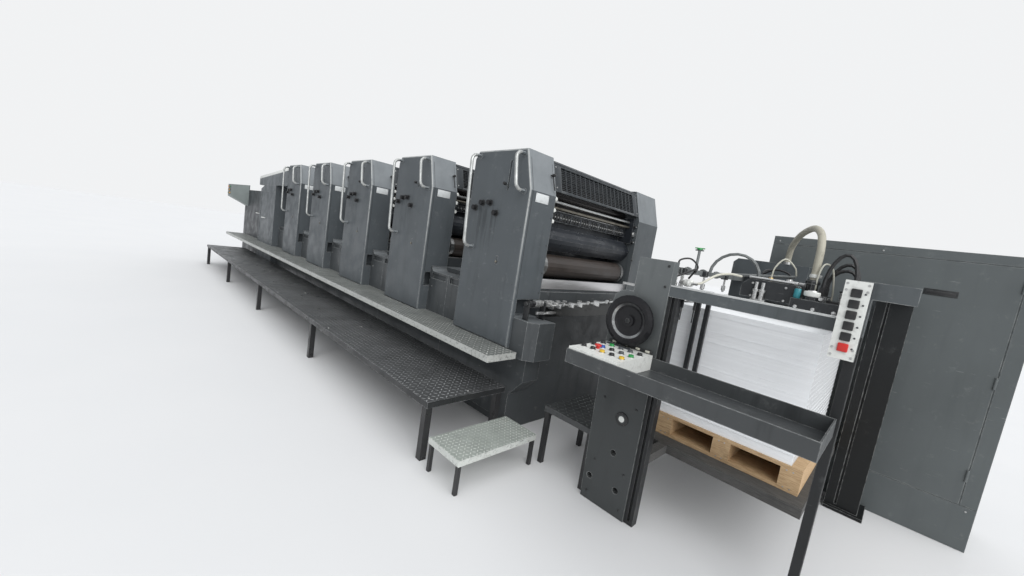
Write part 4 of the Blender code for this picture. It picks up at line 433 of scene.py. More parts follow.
@dataclass(frozen=True)
class Steel(Finish):
    """Bare steel: drawn or ground, with a film of ink and oil."""

    colour: Colour = (0.50, 0.50, 0.49)
    roughness: float = 0.32
    grain: Point = (1.0, 60.0, 60.0)
    soil: float = 0.4

    def dress(self, graph: Graph) -> None:
        """Grain along one axis, stains, and a worn gloss.

        Args:
            graph: The material's nodes.
        """
        stain = graph.noise(12.0, 6.0, 0.65).span(0.5, 0.72) * self.soil
        lines = graph.noise(8.0, 3.0, 0.6, self.grain)
        tone = graph.shades(lines, self.colour, 0.8, 1.15)
        graph.set(base_color=graph.mix(stain, tone, scaled(self.colour, 0.25)), metallic=0.9,
                  roughness=lines.span(0.2, 0.8, self.roughness - 0.08, self.roughness + 0.14),
                  normal=graph.bump(lines, 0.00008))


@dataclass(frozen=True)
class Plastic(Finish):
    """Moulded plastic or enamel, slightly grained, with grime in it."""

    colour: Colour
    roughness: float = 0.38
    grime: float = 0.3
    grime_colour: Colour = (0.10, 0.09, 0.08)

    def dress(self, graph: Graph) -> None:
        """Fine grain, handling marks and grime.

        Args:
            graph: The material's nodes.
        """
        marks = graph.noise(38.0, 6.0, 0.65).span(0.48, 0.74)
        tone = graph.shades(graph.noise(6.0, 4.0), self.colour, 0.9, 1.06)
        graph.set(base_color=graph.mix(marks * self.grime, tone, self.grime_colour),
                  normal=graph.bump(graph.noise(900.0, 1.0), 0.00005),
                  roughness=marks.span(0.0, 1.0, self.roughness, self.roughness + 0.2))


@dataclass(frozen=True)
class Timber(Finish):
    """Sawn softwood with grain along one axis, or grey old boards."""

    colour: Colour
    dark: Colour
    grain: Point = (1.5, 22.0, 22.0)

    def dress(self, graph: Graph) -> None:
        """Growth lines, knots and dirt.

        Args:
            graph: The material's nodes.
        """
        wander = graph.noise(3.0, 3.0, 0.5, self.grain).span(0.5, 0.8, 0.0, 0.5)
        rings = graph.noise(14.0, 5.0, 0.65, self.grain)
        soil = graph.noise(7.0, 6.0, 0.7).span(0.55, 0.75) * 0.45
        tone = graph.mix(rings.span(0.35, 0.70), self.colour, self.dark)
        tone = graph.mix(wander, tone, scaled(self.dark, 0.7))
        graph.set(base_color=graph.mix(soil, tone, scaled(self.dark, 0.35)),
                  roughness=rings.span(0.2, 0.8, 0.62, 0.85), normal=graph.bump(rings, 0.0006))


@dataclass(frozen=True)
class Sheets(Finish):
    """The side of a pile of printing sheets: fine layers, in slightly different batches."""

    colour: Colour = (0.92, 0.935, 0.95)

    def dress(self, graph: Graph) -> None:
        """Layer lines along Z, and painted shade on the cut side that faces the feeder's end.

        Args:
            graph: The material's nodes.
        """
        fine = graph.noise(5.0, 2.0, 0.5, (0.3, 0.3, 260.0))
        batch = graph.noise(1.4, 2.0, 0.5, (0.2, 0.2, 26.0))
        tone = graph.shades(fine.span(0.35, 0.7), self.colour, 1.0, 0.86)
        tone = graph.mix(batch.span(0.35, 0.62), tone, scaled(self.colour, 0.90))
        # Painted shade: the side facing the feeder's end is made darker.
        tone = graph.mix(graph.facing(Axis.X, 0.6, 0.9) * 0.75, tone, scaled(self.colour, 0.45))
        graph.set(base_color=tone, roughness=0.75, normal=graph.bump(fine + batch, 0.0004))


@dataclass(frozen=True)
class CylinderSkin(Finish):
    """A cylinder with a rubber blanket between ground steel bearer rings."""

    rubber: Colour = (0.034, 0.027, 0.023)
    steel: Colour = (0.48, 0.48, 0.47)
    rubber_half: float = 0.535

    def dress(self, graph: Graph) -> None:
        """Inky rubber in the middle and steel beyond it.

        Args:
            graph: The material's nodes.
        """
        ends = abs(graph.y).above(self.rubber_half)
        film = graph.noise(4.0, 6.0, 0.65, (1.0, 3.0, 1.0))
        tone = graph.shades(film, self.rubber, 0.6, 1.7)
        metal = graph.shades(graph.noise(20.0, 4.0), self.steel, 0.7, 1.0)
        graph.set(base_color=graph.mix(ends, tone, metal), metallic=ends,
                  roughness=film.span(0.3, 0.7, 0.30, 0.50),
                  normal=graph.bump(graph.noise(300.0, 2.0), 0.0001))


@dataclass(frozen=True)
class WheelSkin(Finish):
    """Black handwheel with a rubbed rim, and a turned metal ring in its dish that is painted bright
    on its lower-left side as a highlight.
    """

    centre: Pair = (3.625, 1.08)
    ring: Pair = (0.082, 0.094)
    black: Colour = (0.008, 0.008, 0.009)
    # Colour of the painted highlight on the ring.
    bright: Colour = (0.40, 0.41, 0.41)

    def dress(self, graph: Graph) -> None:
        """Black, with a painted highlight between two distances from the wheel's axis, on the
        lower-left side only.

        Args:
            graph: The material's nodes.
        """
        across, upward = graph.x - self.centre[0], graph.z - self.centre[1]
        reach = graph.maths("SQRT", across * across + upward * upward)
        # A painted highlight on the ring, broken into patches and kept to the lower-left side.
        worn = graph.noise(16.0, 5.0).span(0.35, 0.7, 0.5, 1.0)
        highlight_side = (across + upward).span(-0.02, 0.05, 1.0, 0.12)
        shine = reach.within(*self.ring, 0.0015) * worn * highlight_side
        tone = graph.shades(graph.noise(30.0, 5.0), self.black, 1.0, 2.2)
        graph.set(base_color=graph.mix(shine, tone, self.bright), metallic=shine,
                  roughness=graph.blend(shine, 0.27, 0.24), specular_ior_level=0.24,
                  normal=graph.bump(graph.noise(500.0, 2.0), 0.0001))


@dataclass(frozen=True)
class CoverPaint(WornPaint):
    """Cover paint, with bare steel on the grab rails and black on the knobs."""

    rail_y: float = -0.942
    knob_y: float = -0.9015
    knob_z: Pair = (1.545, 1.690)
    knob: Colour = (0.014, 0.014, 0.015)
    rail: Colour = (0.46, 0.47, 0.46)
    # Colour of the painted highlight along the rims.
    rim: Colour = (0.33, 0.34, 0.335)
    rim_y: Pair = (-0.903, -0.887)
    pitch: float = 1.2
    knee: float = 1.76
    slope: float = 0.30

    def across(self, graph: Graph) -> Value:
        """How far a point is from its unit's middle, along the press."""
        return graph.x - graph.maths("ROUND", graph.x / self.pitch) * self.pitch

    def rim_highlights(self, graph: Graph) -> Value:
        """A painted highlight along the rims round a cover's face, patchy and stronger higher up.

        Args:
            graph: The material's nodes.

        Returns:
            The mask.
        """
        across = self.across(graph)
        leaning = across + (graph.z - self.knee).most(0.0) * self.slope
        feeder = leaning.within(0.3130, 0.325)
        sides = feeder.most(across.within(-0.325, -0.3135).most(graph.z.within(2.0270, 2.045)))
        patchy = graph.noise(18.0, 5.0).span(0.25, 0.55, 0.25, 1.0)
        return sides * patchy * graph.z.span(0.8, 1.85, 0.14, 1.0)

    def paint(self, graph: Graph) -> tuple[Value, Value]:
        """The paint with ink runs below the knobs, then knobs, painted highlights on the rims, and
        rails.

        Args:
            graph: The material's nodes.

        Returns:
            The colour, and the mask of what is bare metal.
        """
        tone, rubbed = super().paint(graph)
        height = graph.z.span(1.18, 1.56) * graph.z.span(1.58, 1.66, 1.0, 0.0)
        runs = graph.noise(3.0, 4.0, 0.6, (18.0, 1.0, 1.0)).span(0.46, 0.66) * 0.55
        runs = self.across(graph).within(-0.24, 0.03, 0.04) * height * runs
        knob = graph.y.below(self.knob_y, FINE) * graph.z.within(*self.knob_z)
        # Painted highlight along the rims of the cover's face.
        rim = self.rim_highlights(graph) * graph.y.within(*self.rim_y)
        rail = graph.y.below(self.rail_y)
        worn = graph.shades(graph.noise(24.0, 5.0).span(0.3, 0.7), self.rail, 0.75, 1.0)
        for mask, colour in ((runs, scaled(self.colour, 0.3)), (knob, self.knob),
                             (rim, self.rim), (rail, worn)):
            tone = graph.mix(mask, tone, colour)
        return tone, rail.most(rubbed * 0.8)


@dataclass(frozen=True)
class SplitPaint(WornPaint):
    """Machine paint, with another colour below a limit on one axis."""

    axis: Axis = Axis.Z
    limit: float = 0.0
    soft: float = SOFT
    other: Colour = (0.0, 0.0, 0.0)
    patches: float = 16.0
    shade: Pair = (1.0, 2.4)

    def paint(self, graph: Graph) -> tuple[Value, Value]:
        """The paint, then the other colour by its place.

        Args:
            graph: The material's nodes.

        Returns:
            The colour, and the mask of the worn edges, which are partly painted highlights.
        """
        tone, rubbed = super().paint(graph)
        other = graph.shades(graph.noise(self.patches, 5.0), self.other, *self.shade)
        place = (graph.x, graph.y, graph.z)[self.axis.value]
        return graph.mix(place.below(self.limit, self.soft), tone, other), rubbed


@dataclass(frozen=True)
class BoxSkin(Plastic):
    """A white enamel front on a dark metal case."""

    front_y: float = -0.955
    case: Colour = (0.030, 0.033, 0.036)

    def dress(self, graph: Graph) -> None:
        """White where the case faces the operator.

        Args:
            graph: The material's nodes.
        """
        marks = graph.noise(38.0, 6.0).span(0.5, 0.74) * self.grime
        pale = graph.mix(marks, self.colour, self.grime_colour)
        dark = graph.shades(graph.noise(20.0, 5.0), self.case, 0.7, 1.6)
        graph.set(base_color=graph.mix(graph.y.below(self.front_y), dark, pale),
                  roughness=self.roughness, normal=graph.bump(graph.noise(700.0, 1.0), 0.00006))


class Paints:
    """Every finish of the press, by what it is on."""

    COVER = WornPaint("cover paint", (0.078, 0.088, 0.095), grime=0.25)
    DRIVE = WornPaint("drive side paint", (0.074, 0.083, 0.088), grime=0.6, dust_and_sheen=0.35)
    TOWER = WornPaint("ink unit paint", (0.021, 0.024, 0.029), grime=0.7, roughness=0.34)
    BED = WornPaint("bed paint", (0.052, 0.057, 0.060), grime=0.5, roughness=0.38, dust_and_sheen=0.30)
    PLATE = WornPaint("side plate paint", (0.125, 0.136, 0.138), darkening_top=1.15)
    FRAME = WornPaint("frame paint", (0.070, 0.080, 0.086))
    CABINET = WornPaint("cabinet paint", (0.100, 0.112, 0.114), roughness=0.5, edge_wear_and_highlight=0.5, grime=0.12)
    TRAY = WornPaint("tray paint", (0.055, 0.059, 0.061))
    BLACK = WornPaint("black paint", (0.018, 0.019, 0.020), (0.18, 0.185, 0.18), 0.45, edge_wear_and_highlight=0.5)
    DELIVERY = SplitPaint("delivery paint", (0.036, 0.040, 0.044), grime=0.3, axis=Axis.Y,
                          limit=-0.824, other=(0.20, 0.225, 0.22), patches=6.0, shade=(0.8, 1.1))
    HOOD = WornPaint("hood paint", (0.085, 0.096, 0.103))
    GUARD = WornPaint("guard enamel", (0.036, 0.041, 0.045), edge=0.0015, edge_wear_and_highlight=0.6, roughness=0.34)
    CASTING = WornPaint("head casting paint", (0.030, 0.032, 0.034), roughness=0.36, grime=0.6)
    MESH = WornPaint("mesh enamel", (0.028, 0.032, 0.035), edge=0.0008, edge_wear_and_highlight=0.15)
    # Dark paint, made darker still as painted shade where the column stands behind the control box.
    COLUMN = WornPaint("column paint", (0.018, 0.020, 0.021), darkening_top=1.2)
    BEAMS = SplitPaint("beam paint", (0.086, 0.096, 0.101), limit=1.2445, soft=FINE,
                       other=(0.016, 0.017, 0.018))
    BRIDGE = WornPaint("bridge paint", (0.15, 0.16, 0.16), grime=0.6)
    RAILED = CoverPaint("operator cover paint", (0.078, 0.088, 0.095), grime=0.22, dust_and_sheen=0.45)
    PLATFORM = Chequer("platform chequer plate", (0.056, 0.058, 0.059), (0.30, 0.305, 0.31),
                       (0.016, 0.017, 0.018), leg_height=0.34, roughness=0.36)
    WALKWAY = Chequer("walkway chequer plate", (0.028, 0.031, 0.031), (0.20, 0.21, 0.21),
                      (0.05, 0.052, 0.054), leg_height=0.348)
    LEDGE = Chequer("ledge tread plate", (0.140, 0.148, 0.140), (0.60, 0.61, 0.58),
                    (0.42, 0.43, 0.41), metallic=0.1, roughness=0.42)
    STEP = Chequer("step tread plate", (0.34, 0.37, 0.34), (0.80, 0.82, 0.78), (0.55, 0.57, 0.54),
                   pitch=0.026, metallic=0.15, roughness=0.38, leg_height=0.169)
    STEEL = Steel("drawn steel")
    GROUND = Steel("ground steel", (0.66, 0.66, 0.65), 0.26, (60.0, 1.0, 60.0), 0.3)
    BOARD = Steel("feed board steel", (0.10, 0.10, 0.098), 0.40, (60.0, 2.0, 60.0), 0.6)
    ROLLER = Steel("inked roller", (0.045, 0.042, 0.041), 0.24, (60.0, 1.0, 60.0), 0.5)
    BRIGHT = Steel("rubbed edge steel", (0.62, 0.63, 0.62), 0.30, (1.0, 40.0, 40.0), 0.35)
    CHAIN = Steel("oily chain", (0.16, 0.15, 0.13), 0.38, (1.0, 1.0, 1.0), 0.5)
    DULL = Steel("stained duct steel", (0.26, 0.24, 0.20), 0.36, (60.0, 1.0, 60.0), 0.6)
    LATH = Steel("sheet bar steel", (0.78, 0.77, 0.77), 0.36, (60.0, 1.0, 60.0), 0.06)
    BRASS = Steel("brass", (0.55, 0.38, 0.14), 0.3, (1.0, 1.0, 1.0), 0.3)
    CYLINDER = CylinderSkin("blanket cylinder")
    WHEEL = WheelSkin("handwheel")
    PALLET = Timber("pallet timber", (0.60, 0.43, 0.25), (0.36, 0.22, 0.11))
    PILE_BOARD = Timber("pile board timber", (0.088, 0.086, 0.082), (0.045, 0.044, 0.042))
    PAPER = Sheets("printing sheets")
    WHITE = Plastic("white enamel", (0.70, 0.71, 0.68))
    PLAQUE = Plastic("blank plate enamel", (0.62, 0.64, 0.64), grime=0.2)
    BUTTON = Plastic("black plastic", (0.014, 0.014, 0.015), 0.3, 0.15)
    RED = Plastic("red button", (0.55, 0.02, 0.015), 0.3, 0.15)
    GREEN = Plastic("green button", (0.02, 0.26, 0.06), 0.3, 0.15)
    YELLOW = Plastic("yellow button", (0.62, 0.40, 0.03), 0.3, 0.15)
    BLUE = Plastic("blue button", (0.02, 0.08, 0.35), 0.3, 0.15)
    KEY = Plastic("dark key", (0.06, 0.065, 0.07), 0.4, 0.2)
    HOSE = Plastic("beige hose", (0.40, 0.38, 0.31), 0.6, 0.35)
    RUBBER = Plastic("black rubber", (0.016, 0.016, 0.017), 0.5, 0.2)
    CLEAR = Plastic("pale tube", (0.55, 0.54, 0.46), 0.25, 0.1)
    TEAL = Plastic("teal piston", (0.03, 0.22, 0.26), 0.3, 0.2)
    BOX = BoxSkin("control box enamel", (0.70, 0.71, 0.68))


# Shapes


def spread(low: float, high: float, count: int) -> tuple[float, ...]:
    """Evenly spaced numbers from low to high, both included."""
    return tuple(low + (high - low) * index / (count - 1) for index in range(count))


def grid(*sides: float | tuple[float, ...]) -> list[Point]:
    """Every point whose x, y and z are a given number or one out of a tuple."""
    return list(product(*(side if isinstance(side, tuple) else (side,) for side in sides)))


def leaning(place: Point, slope: float) -> Matrix:
    """A frame at a place, turned about Y by a slope."""
    return Matrix.Translation(place) @ Matrix.Rotation(-math.atan(slope), 4, "Y")


def cap(radius: float, height: float, edge: float) -> Profile:
    """The profile of a flat cap whose upper edge is rounded.

    Args:
        radius: Its radius.
        height: Its height.
        edge: The rounding of its upper edge.

    Returns:
        The profile.
    """
    chamfer = edge * CHAMFER_SHARE
    return [(0, 0), (radius, 0), (radius, height - edge), (radius - chamfer, height - chamfer),
            (radius - edge, height), (0, height)]


def rod(radius: float, half: float) -> Profile:
    """The profile of a rod, by half its length."""
    return [(0, -half), (radius, -half), (radius, half), (0, half)]


def sleeve(inner: float, outer: float, low: float, high: float) -> Profile:
    """The profile of a plain ring."""
    return [(inner, low), (outer, low), (outer, high), (inner, high), (inner, low)]


def coil(radius: float, climb: float, count: int) -> list[Point]:
    """A spring's route up from the origin.

    Args:
        radius: The radius of its turns.
        climb: The rise from each point to the next.
        count: How many points it has.

    Returns:
        The points.
    """
    turns = [index * COIL_TURN for index in range(count)]
    return [(radius * math.cos(turn), radius * math.sin(turn), climb * index)
            for index, turn in enumerate(turns)]


def handle(half: float, reach: float) -> list[Point]:
    """The route of a bent handle that stands off a face along Y.

    Args:
        half: Half its length, along X.
        reach: How far it stands off, below zero towards the operator.

    Returns:
        The points.
    """
    way = math.copysign(1.0, reach)
    narrow, drop, corner = HANDLE_BEND
    end = [(half, -HANDLE_FOOT * way, 0.0), (half - narrow, reach - drop * way, 0.0),
           (half - corner, reach, 0.0)]
    return [(-x, y, z) for x, y, z in end] + end[::-1]


def curve(points: list[Point], steps: int) -> list[Vector]:
    """A smooth route through a few points, or a straight one with a single step.

    Args:
        points: The points, first to last.
        steps: The parts of each stretch between two of them.

    Returns:
        The route.
    """
    knots = [Vector(point) for point in points]
    knots = [knots[0] * 2 - knots[1], *knots, knots[-1] * 2 - knots[-2]]
    route = []
    for before, start, end, after in zip(knots, knots[1:], knots[2:], knots[3:]):
        for step in range(steps):
            part = step / steps
            route.append(0.5 * (2 * start + (end - before) * part
                                + (2 * before - 5 * start + 4 * end - after) * part ** 2
                                + (3 * start - before - 3 * end + after) * part ** 3))
    return [*route, knots[-2]]


class Outline:
    """The profiles of the turned parts."""

    GUARD_SCREW = cap(0.006, 0.003, 0.0015)
    LEVER_GRIP = cap(0.011, 0.024, 0.006)
    PLATE_RIVET = cap(0.0035, 0.0016, 0.001)
    EDGE_SCREW = cap(0.005, 0.0028, 0.0018)
    FACE_SCREW = cap(0.0035, 0.003, 0.001)
    SIDE_KNOB = cap(0.011, 0.028, 0.008)
    KEY_SCREW = cap(0.0065, 0.012, 0.002)
    PIN_BOSS = cap(0.012, 0.022, 0.004)
    PIN = cap(0.005, 0.030, 0.002)
    ROOF_RIVET = cap(0.005, 0.003, 0.0015)
    PANEL_SCREW = cap(0.006, 0.004, 0.002)
    DRIVE_SCREW = cap(0.0055, 0.004, 0.002)
    CONSOLE_KEY = cap(0.012, 0.012, 0.003)
    LEDGE_RIVET = cap(0.007, 0.004, 0.003)
    DECK_BOLT = cap(0.009, 0.004, 0.002)
    PRESSED_SCREW = cap(0.0075, 0.005, 0.003)
    RING_KNOB = cap(0.0175, 0.009, 0.003)
    SHAFT_END = cap(0.015, 0.007, 0.002)
    LAY_SCREW = cap(0.013, 0.012, 0.003)
    NAIL = cap(0.004, 0.0012, 0.0008)
    GREEN_CAP = cap(0.016, 0.012, 0.004)
    HEAD_SCREW = cap(0.007, 0.006, 0.002)
    DECK_NUT = cap(0.009, 0.012, 0.003)
    TALL_CAP = cap(0.018, 0.030, 0.004)
    BRASS_CAP = cap(0.014, 0.024, 0.004)
    SIDE_CAP = cap(0.010, 0.014, 0.004)
    SPRING_CAP = cap(0.013, 0.008, 0.002)
    BLOCK_CAP = cap(0.011, 0.010, 0.003)
    BUTTON_BEZEL = cap(0.0165, 0.0035, 0.0012)
    BOX_LAMP = cap(0.0035, 0.002, 0.001)
    BOX_SCREW = cap(0.0045, 0.0025, 0.001)
    HUB_NUT = cap(0.015, 0.008, 0.003)
    CABINET_SCREW = cap(0.0055, 0.003, 0.0015)
    LOCK = [(0, 0), (0.0085, 0), (0.0085, 0.006), (0.007, 0.008), (0.003, 0.008), (0.003, 0.004),
            (0, 0.004)]
    WHITE_KNOB = [(0, 0), (0.010, 0), (0.0165, 0.012), (0.017, 0.024), (0.013, 0.031), (0, 0.033)]
    GEAR = [(0, 0), (0.0145, 0), (0.0145, 0.014), (0.008, 0.018), (0, 0.018)]
    DIAL = [(0, 0), (0.021, 0), (0.024, 0.003), (0.024, 0.013), (0.021, 0.016), (0, 0.016)]
    PLATE_RING = [(0, 0), (0.037, 0), (0.037, 0.005), (0.033, 0.008), (0.024, 0.008),
                  (0.022, 0.003), (0, 0.003)]
    BRUSH_WHEEL = [(0, -0.009), (0.019, -0.009), (0.022, -0.006), (0.022, 0.006), (0.019, 0.009),
                   (0, 0.009)]
    DOME = [(0, 0), (0.030, 0), (0.0375, 0.010), (0.0385, 0.014), (0.0385, 0.030), (0.035, 0.034),
            (0, 0.035)]
    DOME_LID = [(0, 0), (0.024, 0), (0.022, 0.005), (0, 0.005)]
    PISTON = [(0, 0), (0.0155, 0), (0.0165, 0.003), (0.0165, 0.048), (0.014, 0.054), (0.005, 0.054),
              (0.005, 0.066), (0, 0.066)]
    VALVE = [(0, 0), (0.011, 0), (0.011, 0.035), (0.006, 0.040), (0.006, 0.055), (0.012, 0.058),
             (0.012, 0.068), (0, 0.070)]
    SPOOL = [(0, -0.055), (0.013, -0.055), (0.013, -0.010), (0.017, -0.008), (0.017, 0.008),
             (0.010, 0.010), (0.010, 0.050), (0, 0.050)]
    SUCKER = [(0, 0), (0.006, 0), (0.006, -0.022), (0.014, -0.034), (0.013, -0.036), (0, -0.030)]
    PLUNGER = [(0, 0.105), (0.006, 0.105), (0.006, 0.045), (0.013, 0.043), (0.013, 0.012),
               (0.007, 0.010), (0.007, 0), (0, 0)]
    CUP = [(0, -0.020), (0.012, -0.020), (0.020, -0.012), (0.021, 0.010), (0.015, 0.018),
           (0, 0.019)]
    PUSH_BUTTON = [(0, 0), (0.0130, 0), (0.0130, 0.011), (0.0118, 0.0135), (0, 0.0140)]
    MUSHROOM = [(0, 0), (0.010, 0), (0.010, 0.012), (0.018, 0.015), (0.017, 0.021), (0.010, 0.024),
                (0, 0.025)]


class Mould:
    """Collects shapes and their finishes into one piece of the press."""

    def __init__(self, name: str, seat: Matrix | None = None) -> None:
        """Start an empty piece.

        Args:
            name: The piece's name.
            seat: The frame that its shapes are placed in, or none for the press's own.
        """
        self.name = name
        self.seat = Matrix.Identity(4) if seat is None else seat
        self.shape = bmesh.new()
        self.finishes: list[Finish] = []

    def add(self, part: bmesh.types.BMesh, finish: Finish, places: Places) -> None:
        """Put copies of a shape into the piece.

        Args:
            part: The shape, which is freed.
            finish: What it is made of.
            places: Where its copies go: points, or whole frames.
        """
        if finish not in self.finishes:
            self.finishes.append(finish)
        for face in part.faces:
            face.material_index = self.finishes.index(finish)
            face.smooth = True
        for edge in part.edges:
            edge.smooth = len(edge.link_faces) == 2 and edge.calc_face_angle() < SHARP_ANGLE
        for place in places:
            move = place if isinstance(place, Matrix) else Matrix.Translation(place)
            spare = bpy.data.meshes.new("spare")
            part.to_mesh(spare)
            spare.transform(self.seat @ move)
            self.shape.from_mesh(spare)
            bpy.data.meshes.remove(spare)
        part.free()

    def slab(self, finish: Finish, low: Point, high: Point, bevel: float = 0.0,
             places: Places = HERE, segments: int = 2) -> None:
        """Add blocks with rounded edges.

        Args:
            finish: What they are made of.
            low: The lowest corner, from a block's place.
            high: The highest corner.
            bevel: The rounding, or zero for none.
            places: Where they go.
            segments: The rounding's steps.
        """
        shape = bmesh.new()
        bmesh.ops.create_cube(shape, size=1.0)
        start, end = Vector(low), Vector(high)
        bmesh.ops.scale(shape, vec=end - start, verts=shape.verts)
        bmesh.ops.translate(shape, vec=(start + end) / 2, verts=shape.verts)
        if bevel:
            bmesh.ops.bevel(shape, geom=shape.edges[:], offset=bevel, segments=segments,
                            profile=0.5, affect="EDGES", material=-1)
        self.add(shape, finish, places)

    def lathe(self, finish: Finish, profile: Profile, way: Way, steps: int,
              places: Places = HERE) -> None:
        """Add turned parts.

        Args:
            finish: What they are made of.
            profile: Pairs of distance from the axis and place along it.
            way: Which way the axis points.
            steps: The segments round it.
            places: Where they go.
        """
        shape = bmesh.new()
        verts = [shape.verts.new((reach, 0.0, along)) for reach, along in profile]
        edges = [shape.edges.new(pair) for pair in zip(verts, verts[1:])]
        bmesh.ops.spin(shape, geom=verts + edges, cent=(0, 0, 0), axis=(0, 0, 1), dvec=(0, 0, 0),
                       angle=math.tau, steps=steps, use_merge=True, use_duplicate=False)
        bmesh.ops.remove_doubles(shape, verts=shape.verts, dist=MERGE)
        bmesh.ops.recalc_face_normals(shape, faces=shape.faces)
        turn = Vector((0, 0, 1)).rotation_difference(Vector(way.value))
        shape.transform(turn.to_matrix().to_4x4())
        self.add(shape, finish, places)

    def pipe(self, finish: Finish, points: list[Point], radius: float, steps: int = 1,
             sides: int = 12, places: Places = HERE) -> None:
        """Add round tubes with closed ends.

        Args:
            finish: What they are made of.
            points: The points that the middle follows.
            radius: The radius.
            steps: The parts of each stretch, or one for straight stretches.
            sides: The faces round it.
            places: Where they go.
        """
        route = curve(points, steps)
        shape = bmesh.new()
        ways = [(after - before).normalized() for before, after in
                zip([route[0], *route[:-1]], [*route[1:], route[-1]])]
        turn = Vector((0, 0, 1)).rotation_difference(ways[0])
        ring = bmesh.ops.create_circle(shape, cap_ends=True, radius=radius, segments=sides)["verts"]
        place = Matrix.Translation(route[0]) @ turn.to_matrix().to_4x4()
        bmesh.ops.transform(shape, matrix=place, verts=ring)
        edges = shape.edges[:]
        for before, way, point in zip(ways, ways[1:], route[1:]):
            turn = before.rotation_difference(way) @ turn
            grown = bmesh.ops.extrude_edge_only(shape, edges=edges)["geom"]
            verts = [item for item in grown if isinstance(item, bmesh.types.BMVert)]
            edges = [item for item in grown if isinstance(item, bmesh.types.BMEdge)]
            following = Matrix.Translation(point) @ turn.to_matrix().to_4x4()
            bmesh.ops.transform(shape, matrix=following @ place.inverted(), verts=verts)
            place = following
        bmesh.ops.contextual_create(shape, geom=edges)
        bmesh.ops.recalc_face_normals(shape, faces=shape.faces)
        self.add(shape, finish, places)

    def deliver(self, body: str, slot: Slot, *stands_for: str) -> None:
        """Make the piece an object that rides on a body.

        Args:
            body: The frame's body that carries it.
            slot: The record's material slot; not used.
            stands_for: The nodes that it replaces, if any.
        """
        mesh = bpy.data.meshes.new(self.name)
        self.shape.to_mesh(mesh)
        self.shape.free()
        for finish in self.finishes:
            mesh.materials.append(finish.build())
        piece = bpy.data.objects.new(self.name, mesh)
        bpy.context.scene.collection.objects.link(piece)
        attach(piece, body)
        if stands_for:
            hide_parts(*stands_for)
        LOG.info("%s rides on %s with %d faces", self.name, body, len(mesh.polygons))


# Sub-assemblies


class Assembly:
    """A sub-assembly: the finishes of its nodes, and the pieces that it adds."""

    finishes: ClassVar[dict[str, Finish]]

    def name(self, piece: str) -> str:
        """A piece's or node's full name."""
        return piece

    def build(self) -> None:
        """Give the nodes their finishes in all material slots, then add the pieces."""
        for node, finish in self.finishes.items():
            mesh = FRAME["nodes"][self.name(node)].data
            if not mesh.materials:
                mesh.materials.append(finish.build())
            for index in range(len(mesh.materials)):
                mesh.materials[index] = finish.build()
        self.dress()

    def dress(self) -> None:
        """Add the pieces."""
        raise NotImplementedError


